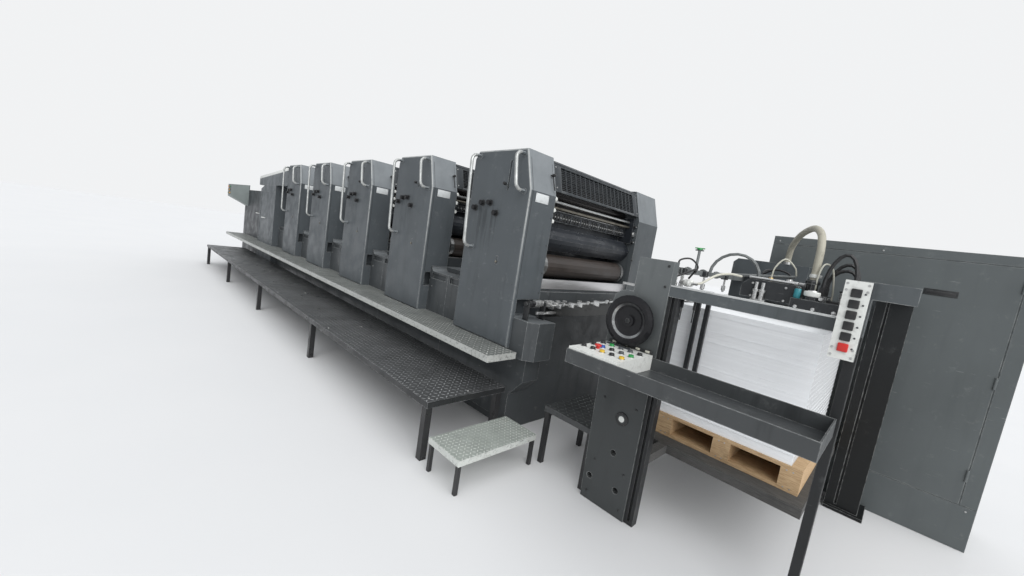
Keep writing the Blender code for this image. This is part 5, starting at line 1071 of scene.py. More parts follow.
@dataclass
class PrintingUnit(Assembly):
    """One printing unit: covers, ink unit, hinged mesh guard, blanket cylinder and bed."""

    finishes: ClassVar = {
        "operator_cover": Paints.RAILED, "drive_cover": Paints.DRIVE, "base": Paints.BED,
        "inking_tower": Paints.TOWER, "ink_guard": Paints.GUARD,
        "blanket_cylinder": Paints.CYLINDER}
    number: int
    centre: float
    half: float = 0.32
    knee: float = 1.76
    slope: float = 0.30
    lean_rise: float = 0.225
    face_y: float = -0.90
    drive_y: float = 1.02
    rail_feet: tuple[Pair, ...] = ((-0.207, 1.31), (-0.254, 2.00), (0.266, 1.745), (0.220, 2.00))
    knobs: tuple[Pair, ...] = ((-0.230, 1.609), (-0.149, 1.648), (-0.064, 1.652), (0.012, 1.580))
    guard_hinge: Point = (0.2345, 0.0, 2.005)
    guard_length: float = 0.214
    guard_half: float = 0.619
    guard_thick: float = 0.016
    guard_rim: float = 0.08
    columns: int = 17
    rows: int = 12
    roller_half: float = 0.594
    wall_x: float = 0.285
    wall_y: float = 0.6097
    key_half: float = 0.545
    key_count: int = 32
    teeth: int = 18
    bed_half: float = 0.624

    def name(self, piece: str) -> str:
        """The name with the unit's number."""
        return f"unit_{self.number}_{piece}"

    def mould(self, piece: str) -> Mould:
        """An empty piece of the unit, whose shapes are placed from its middle."""
        return Mould(self.name(piece), Matrix.Translation((self.centre, 0, 0)))

    def guard_mesh(self) -> None:
        """The hinged guard in its leaning plane: hinge rod, wide margins and oblong holes."""
        mould = self.mould("guard_leaf")
        mould.seat = mould.seat @ leaning(self.guard_hinge, self.slope)
        half, thick, length = self.guard_half, self.guard_thick / 2, self.guard_length
        inner, low, high = half - self.guard_rim, 0.020 - length, -0.020
        mould.slab(Paints.GUARD, (-thick, inner, -length), (thick, half, 0), 0.002,
                   [ORIGIN, (0, -half - inner, 0)])
        for start, end in ((low - 0.020, low), (high, 0.0)):
            mould.slab(Paints.GUARD, (-thick, -inner - 0.003, start),
                       (thick, inner + 0.003, end), 0.002)
        mould.slab(Paints.MESH, (-0.003, -0.005, low - 0.002), (0.003, 0.005, high + 0.002),
                   places=grid(0, spread(-inner, inner, self.columns + 1)[1:-1], 0))
        mould.slab(Paints.MESH, (-0.002, -inner, -0.002), (0.002, inner, 0.002),
                   places=grid(0, 0, spread(low, high, self.rows + 1)[1:-1]))
        mould.lathe(Paints.GUARD, rod(0.012, half), Way.DRIVE, 18)
        mould.lathe(Paints.STEEL, Outline.GUARD_SCREW, Way.FEEDER, 12,
                    grid(thick, (0.018 - half, half - 0.018), (-0.03, -0.185)))
        mould.deliver(f"guard_{self.number}", Slot.BLACK, self.name("ink_guard"))

    def cover_trim(self) -> None:
        """Rail flanges, knob collars, lock, slot lever, seams, side knob and the bare plate."""
        mould = self.mould("cover_trim")
        face, edge = self.face_y, self.half
        for finish, reach, rise, steps, spots in (
                (Paints.COVER, 0.021, 0.006, 20, self.rail_feet),
                (Paints.BLACK, 0.025, 0.007, 24, self.knobs)):
            profile = [(0, 0), (reach, 0), (reach, rise - 0.003), (reach - 0.006, rise), (0, rise)]
            mould.lathe(finish, profile, Way.OPERATOR, steps, [(x, face, z) for x, z in spots])
        mould.lathe(Paints.DULL, Outline.LOCK, Way.OPERATOR, 18, [(0.090, face - 0.002, 1.232)])
        mould.pipe(Paints.STEEL, [(0, 0.015, 0), (0, -0.012, 0.004), (0.004, -0.040, 0.014)],
                   0.005, 4, places=[(0.097, face, 1.775)])
        mould.lathe(Paints.BUTTON, Outline.LEVER_GRIP, Way.OPERATOR, 16,
                    [(0.101, face - 0.030, 1.788)])
        mould.slab(Paints.PLAQUE, (edge - 0.001, -0.835, 1.688), (edge + 0.0025, -0.700, 1.750),
                   0.0012)
        mould.lathe(Paints.STEEL, Outline.PLATE_RIVET, Way.FEEDER, 10,
                    grid(edge + 0.0022, (-0.828, -0.707), (1.695, 1.743)))
        mould.lathe(Paints.BLACK, Outline.EDGE_SCREW, Way.FEEDER, 12,
                    grid(edge - 0.0005, -0.645, (1.05, 1.20, 1.40, 1.60)))
        mould.slab(Paints.RUBBER, (edge - 0.004, -0.8700, 1.010), (edge + 0.0006, -0.8672, 1.757))
        mould.lathe(Paints.BLACK, Outline.FACE_SCREW, Way.OPERATOR, 10,
                    grid((-0.292, 0.286), face + 0.0008, (0.70, 1.10, 1.50)))
        mould.seat = mould.seat @ leaning((edge, 0, self.knee), self.slope)
        length = self.lean_rise * math.hypot(1.0, self.slope)
        mould.slab(Paints.RUBBER, (-0.004, -0.8700, 0.002), (0.0006, -0.8672, length))
        mould.slab(Paints.RUBBER, (-0.003, -0.6480, 0.003), (0.0008, -0.6466, length))
        mould.pipe(Paints.BLACK, [(0, -0.668, 0.150), (0.020, -0.668, 0.140),
                                  (0.026, -0.668, 0.030)], 0.0045)
        mould.lathe(Paints.BUTTON, Outline.SIDE_KNOB, Way.FEEDER, 16, [(0.014, -0.668, 0.141)])
        mould.deliver("press", Slot.PRESS)

    def ink_fittings(self) -> None:
        """Inky rollers, bright duct bars, ink keys, white knobs and a toothed setting wheel."""
        mould = self.mould("ink_fittings")
        half, wall, side = self.roller_half, self.wall_x, self.wall_y
        mould.lathe(Paints.ROLLER, rod(0.0366, half), Way.DRIVE, 32,
                    grid(0.150, 0, (1.717, 1.795, 1.873)))
        for height, finish in ((1.695, Paints.DULL), (1.740, Paints.BRIGHT)):
            mould.lathe(finish, rod(0.0108, half), Way.DRIVE, 14, [(0.235, 0, height)])
        rows = spread(-self.key_half, self.key_half, self.key_count)
        mould.slab(Paints.BLACK, (-0.002, -0.0125, -0.028), (0.010, 0.0125, 0.024), 0.0025,
                   grid(0.2005, rows, 1.6375))
        mould.lathe(Paints.STEEL, Outline.KEY_SCREW, Way.FEEDER, 10, grid(0.2085, rows, 1.6315))
        mould.slab(Paints.GROUND, (0.196, -half, 1.677), (0.214, half, 1.683), 0.002)
        mould.lathe(Paints.WHITE, Outline.WHITE_KNOB, Way.FEEDER, 20,
                    grid(wall, -side, (1.5845, 1.665, 1.7455)))
        mould.lathe(Paints.BLACK, Outline.GEAR, Way.FEEDER, 18, [(wall, -side, 1.625)])
        mould.slab(Paints.BLACK, (0, -0.002, 0.0125), (0.014, 0.002, 0.0185), 0.0006,
                   [Matrix.Translation((wall, -side, 1.625))
                    @ Matrix.Rotation(math.tau * index / self.teeth, 4, "X")
                    for index in range(self.teeth)], 1)
        pins = grid(wall, side, (1.56, 1.705))
        mould.lathe(Paints.BLACK, Outline.PIN_BOSS, Way.FEEDER, 18, pins)
        mould.lathe(Paints.STEEL, Outline.PIN, Way.FEEDER, 12, pins)
        mould.lathe(Paints.STEEL, Outline.DIAL, Way.FEEDER, 24, [(wall, side, 1.632)])
        mould.lathe(Paints.STEEL, Outline.ROOF_RIVET, Way.FEEDER, 10,
                    grid(0.2070, spread(-0.575, 0.575, 11), 2.008))
        mould.deliver("press", Slot.PRESS)

    def bed_fittings(self) -> None:
        """The first unit's two sheet bars, or a bar's edge and a screw on the others."""
        mould = self.mould("bed_fittings")
        half = self.bed_half
        if self.number == 1:
            mould.slab(Paints.LATH, (0.2935, -half, 1.080), (0.2985, half, 1.1535), 0.0015)
            mould.slab(Paints.BLACK, (0.2940, -half, 0.994), (0.2965, half, 1.064), 0.001)
            mould.slab(Paints.RUBBER, (0, -0.008, -0.026), (0.0012, 0.008, 0.026), 0.0004,
                       grid(0.2962, spread(-0.60, 0.60, 40), 1.028), 1)
        else:
            mould.slab(Paints.GROUND, (0.240, -half, 1.1505), (0.295, half, 1.1535), 0.001)
            mould.lathe(Paints.STEEL, Outline.PANEL_SCREW, Way.OPERATOR, 12,
                        [(self.half + 0.05, -0.7998, 0.88)])
        mould.deliver("press", Slot.STEEL)

    def drive_trim(self) -> None:
        """Screws and handles on the drive side cover."""
        mould = self.mould("drive_trim")
        mould.lathe(Paints.STEEL, Outline.DRIVE_SCREW, Way.DRIVE, 12,
                    grid((-0.245, 0.0, 0.245), self.drive_y - 0.0066, (0.73, 1.50)))
        mould.pipe(Paints.STEEL, handle(0.045, 0.030), 0.005, 4,
                   places=grid((-0.15, 0.15), self.drive_y - 0.0060, 1.28))
        mould.deliver("press", Slot.PRESS)

    def dress(self) -> None:
        """Add all the unit's pieces."""
        for step in (self.cover_trim, self.ink_fittings, self.guard_mesh, self.bed_fittings,
                     self.drive_trim):
            step()


@dataclass
class CoatingAndDelivery(Assembly):
    """The sixth module, its link, the delivery and the sloped hood."""

    finishes: ClassVar = {
        "coating_module": Paints.COVER, "module_link": Paints.BED,
        "delivery_frame": Paints.DELIVERY, "delivery_hood": Paints.HOOD}
    hood_x: Pair = (-4.50, -2.72)
    hood_half: float = 0.90
    hood_high: Pair = (1.87, 2.00)
    console: tuple[Point, Point] = ((-5.994, -1.15, 1.25), (-5.694, -0.82, 1.70))
    key_step: Pair = (0.06, 0.065)

    def dress(self) -> None:
        """Handles, a white strip along the hood's edge as a painted highlight and a pale plate on
        its end, screws, and the console's keys.
        """
        mould = Mould("delivery_trim")
        low, run, side = self.hood_x[0], self.hood_x[1] - self.hood_x[0], -self.hood_half
        climb = self.hood_high[1] - self.hood_high[0]
        # A white strip along the hood's operator edge: a painted highlight.
        mould.slab(Paints.WHITE, (0.002, side - 0.0015, -0.045),
                   (math.hypot(run, climb) - 0.01, side + 0.045, 0.002), 0.002,
                   [leaning((low, 0, self.hood_high[0]), climb / run)])
        mould.slab(Paints.WHITE, (low - 0.001, side + 0.002, 1.735),
                   (low + 0.004, side + 0.090, 1.862), 0.002)
        mould.pipe(Paints.WHITE, handle(0.06, -0.034), 0.007, 4,
                   places=[(-4.787, -0.82, 1.155), (-3.99, -0.90, 1.11)])
        mould.lathe(Paints.STEEL, Outline.PANEL_SCREW, Way.OPERATOR, 12,
                    grid((-4.31, -3.855, -3.40), -0.8995, (0.72, 1.60)))
        mould.deliver("press", Slot.DARK)
        keys = Mould("console_keys")
        (near, face, _), (far, _, _) = self.console
        keys.slab(Paints.KEY, (near + 0.02, face - 0.002, 1.44), (far - 0.02, face + 0.004, 1.65),
                  0.002)
        colours = (Paints.BUTTON, Paints.GREEN, Paints.RED, Paints.YELLOW)
        for row, column in product(range(3), range(4)):
            keys.lathe(colours[(column + row) % 4], Outline.CONSOLE_KEY, Way.OPERATOR, 16,
                       [(near + 0.06 + self.key_step[0] * column, face - 0.0015,
                         1.48 + self.key_step[1] * row)])
        keys.deliver("press", Slot.DARK)


@dataclass
class Walkways(Assembly):
    """Ledge, platform, entry step and feeder walkway."""

    finishes: ClassVar = {"ledge": Paints.LEDGE, "walk_platform": Paints.PLATFORM,
                          "entry_step": Paints.STEP, "feeder_walkway": Paints.WALKWAY}
    ledge_x: Pair = (-5.83, 2.83)
    ledge_y: float = -1.16
    ledge_top: float = 0.65
    rivets: int = 30
    deck_top: float = 0.385
    deck_rows: tuple[float, ...] = (-5.26, -3.7, -2.1, -0.5, 1.1, 2.73)

    def dress(self) -> None:
        """Rivets along the ledge and bolts on the platform."""
        mould = Mould("ledge_rivets")
        mould.lathe(Paints.STEEL, Outline.LEDGE_RIVET, Way.UP, 12,
                    grid(spread(self.ledge_x[0] + 0.05, self.ledge_x[1] - 0.05, self.rivets),
                         self.ledge_y + 0.030, self.ledge_top - 0.0006))
        mould.deliver("press", Slot.TREAD)
        bolts = Mould("deck_bolts")
        bolts.lathe(Paints.STEEL, Outline.DECK_BOLT, Way.UP, 6,
                    grid(self.deck_rows, (-1.50, -1.20), self.deck_top - 0.0008))
        bolts.deliver("press", Slot.BLACK)


@dataclass
class FeederFrame(Assembly):
    """Side plates, posts, beams, guides and feed board of the feeder."""

    finishes: ClassVar = {
        "feeder_operator_side": Paints.PLATE, "feeder_drive_side": Paints.FRAME,
        "feeder_tie": Paints.BLACK, "pile_guide_operator": Paints.BLACK,
        "pile_guide_drive": Paints.BLACK, "rear_post_operator": Paints.BLACK,
        "rear_column_drive": Paints.COLUMN, "feeder_top_frame": Paints.BEAMS,
        "feed_board": Paints.BOARD, "tool_tray": Paints.TRAY}
    plate_y: float = -0.90
    screws: tuple[Pair, ...] = (
        (3.555, 1.395), (3.765, 1.395), (3.765, 1.29), (3.755, 0.95), (3.55, 0.62),
        (3.745, 0.62), (3.745, 0.25), (3.56, 0.25), (3.545, 0.05), (3.755, 0.05))
    shaft: Pair = (2.80, 0.985)
    lay_y: float = -0.570
    board_rise: float = 0.205 / 0.72
    chain: Pair = (3.745, -0.8410)
    chain_z: Pair = (0.15, 1.14)
    chain_pitch: float = 0.0191

    def dress(self) -> None:
        """Add the frame's pieces."""
        for step in (self.plate_fittings, self.beam_trim, self.board_fittings, self.chain_links):
            step()

    def plate_fittings(self) -> None:
        """Pressed screws, the hinge strip above the desk, a bright ring and a bare plate."""
        mould = Mould("feeder_plate_fittings")
        face = self.plate_y
        mould.lathe(Paints.BLACK, Outline.PRESSED_SCREW, Way.OPERATOR, 6,
                    [(x, face + 0.0005, z) for x, z in self.screws])
        spot = [(3.676, face - 0.0002, 0.541)]
        mould.lathe(Paints.RUBBER, Outline.PLATE_RING, Way.OPERATOR, 28, spot)
        mould.lathe(Paints.WHITE, Outline.RING_KNOB, Way.OPERATOR, 24, spot)
        mould.slab(Paints.STEEL, (3.53, face - 0.004, 1.262), (3.60, face + 0.001, 1.275), 0.001)
        mould.slab(Paints.BLACK, (3.515, face - 0.010, 0.936), (3.770, face + 0.001, 0.950), 0.003)
        mould.slab(Paints.CLEAR, (-0.012, -0.012, -0.006), (0.012, 0.001, 0.006), 0.002,
                   grid((3.55, 3.62, 3.69, 3.745), face, 0.943))
        mould.deliver("press", Slot.PRESS)

    def beam_trim(self) -> None:
        """Bright upper edges on the beams, and the side stops' pointers and clips."""
        mould = Mould("feeder_beam_trim")
        mould.slab(Paints.BRIGHT, (3.792, -0.9004, 1.298), (4.505, -0.8396, 1.3052), 0.0012)
        stops = grid((3.845, 3.905), 0, 0)
        mould.slab(Paints.BLACK, (-0.006, -0.846, 1.200), (0.006, -0.838, 1.250), 0.002, stops)
        mould.slab(Paints.BLACK, (-0.0025, -0.845, 1.137), (0.0025, -0.840, 1.205), 0.001, stops)
        mould.slab(Paints.BRIGHT, (4.545, -0.80, 1.4548), (4.650, 0.62, 1.4566), 0.0008)
        mould.deliver("press", Slot.PRESS)

    def board_fittings(self) -> None:
        """Sheet rods, buckles, side lays and brush wheels on the feed board."""
        mould = Mould("feed_board_fittings")
        x, z = self.shaft
        lay, rise = self.lay_y, self.board_rise
        for start, end, radius in (
                ((2.78, -0.42, 0.955), (3.50, -0.42, 1.160), 0.006),
                ((2.78, 0.42, 0.955), (3.50, 0.42, 1.160), 0.006),
                ((x, -0.850, z), (x, 0.555, z), 0.011),
                ((2.765, -0.820, 0.955), (2.765, 0.555, 0.955), 0.008),
                ((2.770, lay, 0.960), (3.470, lay, 0.960 + 0.700 * rise), 0.010)):
            mould.pipe(Paints.GROUND, [start, end], radius)
        mould.pipe(Paints.STEEL, [(2.845, -0.780, 0.925), (2.845, -0.560, 0.925)], 0.007)
        mould.slab(Paints.BLACK, (2.776, -0.006, 0.868), (2.826, 0.006, 0.998), 0.005,
                   grid(0, (-0.835, -0.665), 0))
        mould.lathe(Paints.BLACK, Outline.SHAFT_END, Way.OPERATOR, 18, [(x, -0.848, z)])
        mould.slab(Paints.GROUND, (-0.024, -0.014, -0.022), (0.024, 0.012, 0.014), 0.004,
                   [(2.785 + along, lay, 0.964 + along * rise)
                    for along in (0.02, 0.09, 0.20, 0.27, 0.40, 0.55)])
        mould.lathe(Paints.STEEL, Outline.LAY_SCREW, Way.OPERATOR, 16,
                    [(2.785 + along, lay - 0.012, 0.966 + along * rise)
                     for along in (0.14, 0.34, 0.48)])
        mould.lathe(Paints.BUTTON, sleeve(0.010, 0.024, -0.012, 0.012), Way.DRIVE, 20,
                    grid(x, (-0.815, -0.785), z))
        mould.lathe(Paints.WHITE, Outline.BRUSH_WHEEL, Way.DRIVE, 20,
                    [(spot, y, 0.945 + (spot - 2.78) * 0.285)
                     for spot, y in product((2.86, 3.02, 3.18), (-0.42, 0.42))])
        for low, high, bevel, spots in (
                ((-0.020, -0.020, -0.014), (0.020, 0.020, 0.026), 0.004,
                 grid(x, (-0.745, -0.700, -0.625, -0.585), z)),
                ((-0.008, -0.045, -0.008), (0.012, 0.045, 0.010), 0.003,
                 grid(2.845, (-0.735, -0.620), 0.928)),
                ((-0.013, -0.016, -0.020), (0.013, 0.016, 0.026), 0.004,
                 grid(x, (-0.50, -0.42, -0.22, 0.0, 0.22, 0.42, 0.50), z)),
                ((-0.022, -0.030, -0.010), (0.030, 0.030, 0.012), 0.004,
                 grid(2.785, (-0.47, -0.30, 0.30, 0.47), 0.965))):
            mould.slab(Paints.GROUND, low, high, bevel, spots)
        mould.deliver("press", Slot.STEEL)

    def chain_links(self) -> None:
        """A roller chain along the operator side's pile guide."""
        mould = Mould("hoist_chain")
        (low, high), (x, y), pitch = self.chain_z, self.chain, self.chain_pitch
        steps = tuple(low + pitch * (index + 0.5) for index in range(int((high - low) / pitch)))
        mould.slab(Paints.CHAIN, (-0.0022, -0.0008, -0.0128), (0.0022, 0.0008, 0.0128), 0.0006,
                   grid((x - 0.0042, x + 0.0042), y - 0.0058, steps), 1)
        mould.lathe(Paints.CHAIN, rod(0.0058, 0.007), Way.DRIVE, 8,
                    [(x, y, height - pitch / 2) for height in steps])
        mould.deliver("press", Slot.BLACK)


@dataclass
class Pile(Assembly):
    """Hoisted pile: board, pallet and printing sheets."""

    finishes: ClassVar = {"pile_board": Paints.PILE_BOARD, "pallet": Paints.PALLET,
                          "paper_stack": Paints.PAPER}
    paper: tuple[Point, Point] = ((3.68, -0.51, 0.5306), (4.39, 0.51, 1.1906))
    proud: int = 22
    sheet: float = 0.0022

    def dress(self) -> None:
        """Uneven sheets on the pile's sides, and nails in the pallet."""
        mould = Mould("proud_sheets")
        low, high = Vector(self.paper[0]), Vector(self.paper[1])
        for index in range(self.proud):
            out = 0.0008 + 0.0016 * ((index * 7) % 5) / 4
            share = ((index * 13) % self.proud) / (self.proud - 1)
            height = low.z + 0.02 + (high.z - low.z - 0.05) * share
            slip = 0.0012 * math.sin(index * 2.1)
            mould.slab(Paints.PAPER, (low.x - out, low.y - out + slip, height),
                       (high.x + out, high.y + out + slip, height + self.sheet))
        mould.deliver("pile", Slot.PAPER)
        nails = Mould("pallet_nails")
        columns = tuple(x + side for x in (3.76, 4.075, 4.39) for side in (-0.014, 0.014))
        nails.lathe(Paints.STEEL, Outline.NAIL, Way.OPERATOR, 8,
                    grid(columns, -0.5198, (0.417, 0.505)))
        nails.deliver("pile", Slot.STEEL)


Hose = tuple[Finish, float, list[Point]]


@dataclass
class SuctionHead(Assembly):
    """Suction head, its hoses and the forwarding bridge."""

    finishes: ClassVar = {"suction_head": Paints.CASTING, "suction_hose": Paints.HOSE,
                          "air_hoses": Paints.RUBBER, "forwarding_bridge": Paints.BRIDGE}
    stem: Point = (4.225, 0.0, 1.4446)
    dome: Pair = (4.256, -0.16)
    deck: float = 1.399
    spring: Pair = (4.350, 0.15)
    rows: tuple[Pair, ...] = (
        (3.685, -0.745), (3.700, -0.640), (3.690, -0.530), (3.700, -0.215), (3.690, 0.215))

    def dress(self) -> None:
        """The main hose, and the pieces on the head and on the bridge."""
        hose = Mould("suction_hose_skin")
        hose.pipe(Paints.HOSE, [
            (4.225, 0, 1.4450), (4.225, 0, 1.53), (4.222, 0.012, 1.63), (4.200, 0.070, 1.715),
            (4.150, 0.185, 1.762), (4.085, 0.340, 1.765), (4.015, 0.500, 1.735),
            (3.965, 0.615, 1.670), (3.950, 0.658, 1.600), (3.950, 0.660, 1.5403)], 0.020, 6, 20)
        hose.lathe(Paints.STEEL, sleeve(0.0195, 0.0235, 0, 0.018), Way.UP, 24,
                   [(3.950, 0.660, 1.5405)])
        hose.deliver("press", Slot.HOSE, "suction_hose")
        mould = Mould("head_fittings")
        self.valves(mould)
        self.head_details(mould)
        self.thin_hoses(mould, (
            (Paints.CLEAR, 0.0045, [(4.245, -0.02, 1.385), (4.246, -0.03, 1.47),
                                    (4.262, -0.02, 1.54), (4.30, 0.00, 1.52),
                                    (4.318, 0.05, 1.40), (4.32, 0.06, 1.325)]),
            (Paints.CLEAR, 0.0045, [(4.02, -0.03, 1.42), (4.03, -0.03, 1.49), (4.07, -0.01, 1.545),
                                    (4.12, 0.02, 1.50), (4.13, 0.045, 1.455)]),
            (Paints.RUBBER, 0.006, [(4.10, 0.06, 1.425), (4.09, 0.05, 1.46), (4.02, 0.06, 1.475),
                                    (3.95, 0.085, 1.44), (3.95, 0.09, 1.405)])))
        mould.deliver("press", Slot.BLACK)
        bridge = Mould("bridge_fittings")
        bridge.lathe(Paints.GREEN, Outline.GREEN_CAP, Way.UP, 20, [(3.67, -0.30, 1.524)])
        bridge.slab(Paints.GREEN, (3.640, -0.306, 1.530), (3.700, -0.294, 1.537), 0.003)
        bridge.lathe(Paints.STEEL, Outline.HEAD_SCREW, Way.UP, 6,
                     grid(3.67, (-0.70, -0.45, 0.30, 0.55), 1.3966))
        self.forwarders(bridge)
        self.thin_hoses(bridge, (
            (Paints.RUBBER, 0.0055, [(3.715, -0.797, 1.345), (3.760, -0.790, 1.350),
                                     (3.800, -0.720, 1.385), (3.800, -0.640, 1.400),
                                     (3.755, -0.600, 1.345)]),
            (Paints.CLEAR, 0.0065, [(3.765, -0.545, 1.318), (3.800, -0.520, 1.330),
                                    (3.840, -0.430, 1.385), (3.870, -0.300, 1.405),
                                    (3.905, -0.200, 1.402)]),
            (Paints.RUBBER, 0.0050, [(3.700, -0.640, 1.400), (3.705, -0.640, 1.440),
                                     (3.730, -0.560, 1.455), (3.745, -0.480, 1.420),
                                     (3.720, -0.430, 1.380)])))
        bridge.deliver("press", Slot.BLACK)

    def thin_hoses(self, mould: Mould, hoses: Iterable[Hose]) -> None:
        """Add bent hoses, each from its finish, radius and points."""
        for finish, radius, points in hoses:
            mould.pipe(finish, points, radius, 7, 10)

    def valves(self, mould: Mould) -> None:
        """The hose's clamp, the white dome, the teal piston, caps and valves on the head.

        Args:
            mould: The piece they go into.
        """
        (x, y, top), deck = self.stem, self.deck
        mould.lathe(Paints.WHITE, sleeve(0.0205, 0.0245, 0, 0.020), Way.UP, 24,
                    [(x, y, top + 0.014)])
        mould.slab(Paints.STEEL, (x + 0.020, y - 0.006, top + 0.016),
                   (x + 0.036, y + 0.006, top + 0.032), 0.002)
        mould.lathe(Paints.WHITE, Outline.DOME, Way.UP, 32, [(*self.dome, 1.345)])
        mould.lathe(Paints.GROUND, Outline.DOME_LID, Way.UP, 28, [(*self.dome, 1.380)])
        mould.lathe(Paints.TEAL, Outline.PISTON, Way.UP, 20, [(4.191, -0.17, 1.330)])
        mould.lathe(Paints.GROUND, Outline.DECK_NUT, Way.UP, 6,
                    grid((4.05, 3.96), (-0.09, 0.09), deck))
        mould.lathe(Paints.GROUND, Outline.TALL_CAP, Way.UP, 20, [(4.10, 0.06, deck)])
        mould.lathe(Paints.BRASS, Outline.BRASS_CAP, Way.UP, 20, [(4.02, -0.03, deck)])
        mould.lathe(Paints.GROUND, Outline.VALVE, Way.UP, 16,
                    [(4.205, 0.175, 1.329), (4.250, 0.175, 1.329), (4.39, -0.175, 1.329)])
        mould.lathe(Paints.GROUND, Outline.SIDE_CAP, Way.OPERATOR, 18,
                    grid((4.20, 4.28, 4.37), -0.1985, 1.285))
        mould.lathe(Paints.STEEL, Outline.HEAD_SCREW, Way.OPERATOR, 12,
                    grid((3.96, 4.13), -0.1495, (1.300, 1.375)))
        mould.lathe(Paints.GROUND, Outline.SPOOL, Way.UP, 18, grid((3.985, 4.020), -0.166, 1.335))

    def head_details(self, mould: Mould) -> None:
        """Clamps, cross rods, a short hose, the sprung plunger and the suckers.

        Args:
            mould: The piece they go into.
        """
        mould.slab(Paints.STEEL, (3.965, -0.175, 1.262), (4.045, -0.148, 1.284), 0.004)
        mould.slab(Paints.GROUND, (-0.030, -0.012, 0.0), (0.030, 0.012, 0.020), 0.004,
                   [(3.985, 0.045, self.deck), (4.145, -0.10, self.deck), (4.145, 0.11, self.deck)])
        mould.pipe(Paints.GROUND, [(3.93, -0.125, 1.408), (4.16, -0.125, 1.408)], 0.008)
        mould.pipe(Paints.GROUND, [(4.30, -0.19, 1.346), (4.30, 0.19, 1.346)], 0.009)
        mould.slab(Paints.CASTING, (-0.013, -0.016, -0.017), (0.013, 0.016, 0.017), 0.004,
                   grid(4.30, (-0.15, -0.08, 0.16), 1.345))
        mould.pipe(Paints.RUBBER, [(3.94, 0.13, 1.400), (3.93, 0.16, 1.455), (3.96, 0.22, 1.47),
                                   (3.99, 0.235, 1.40), (4.00, 0.215, 1.330)], 0.0055, 6, 10)
        mould.pipe(Paints.STEEL, coil(0.010, 0.0011, 60), 0.0016, 1, 6, [(*self.spring, 1.330)])
        mould.pipe(Paints.GROUND, [(0, 0, 1.325), (0, 0, 1.405)], 0.005, places=[(*self.spring, 0)])
        mould.lathe(Paints.BLACK, Outline.SPRING_CAP, Way.UP, 16, [(*self.spring, 1.398)])
        mould.lathe(Paints.RUBBER, Outline.SUCKER, Way.UP, 18,
                    grid(4.300, (-0.16, -0.08, 0.08, 0.16), 1.2350))

    def forwarders(self, mould: Mould) -> None:
        """Plungers, springs, saddles and cups that hang from the bridge.

        Args:
            mould: The piece they go into.
        """
        mould.lathe(Paints.GROUND, Outline.PLUNGER, Way.UP, 18,
                    [(x, y, 1.272) for x, y in self.rows])
        mould.slab(Paints.CASTING, (-0.020, -0.016, -0.018), (0.022, 0.016, 0.022), 0.004,
                   [(x - 0.005, y, 1.378) for x, y in self.rows])
        mould.lathe(Paints.WHITE, Outline.CUP, Way.FEEDER, 22, grid(3.745, (-0.585, -0.545), 1.318))
        mould.lathe(Paints.GROUND, rod(0.007, 0.050), Way.FEEDER, 14, [(3.745, -0.565, 1.318)])
        mould.slab(Paints.BLACK, (3.640, -0.822, 1.300), (3.715, -0.772, 1.392), 0.006)
        mould.lathe(Paints.GROUND, Outline.BLOCK_CAP, Way.FEEDER, 16,
                    grid(3.7145, -0.797, (1.322, 1.368)))
        mould.pipe(Paints.STEEL, coil(0.0095, 0.0008, 56), 0.0014, 1, 6,
                   [(x, y, 1.318) for x, y in self.rows[:3]])


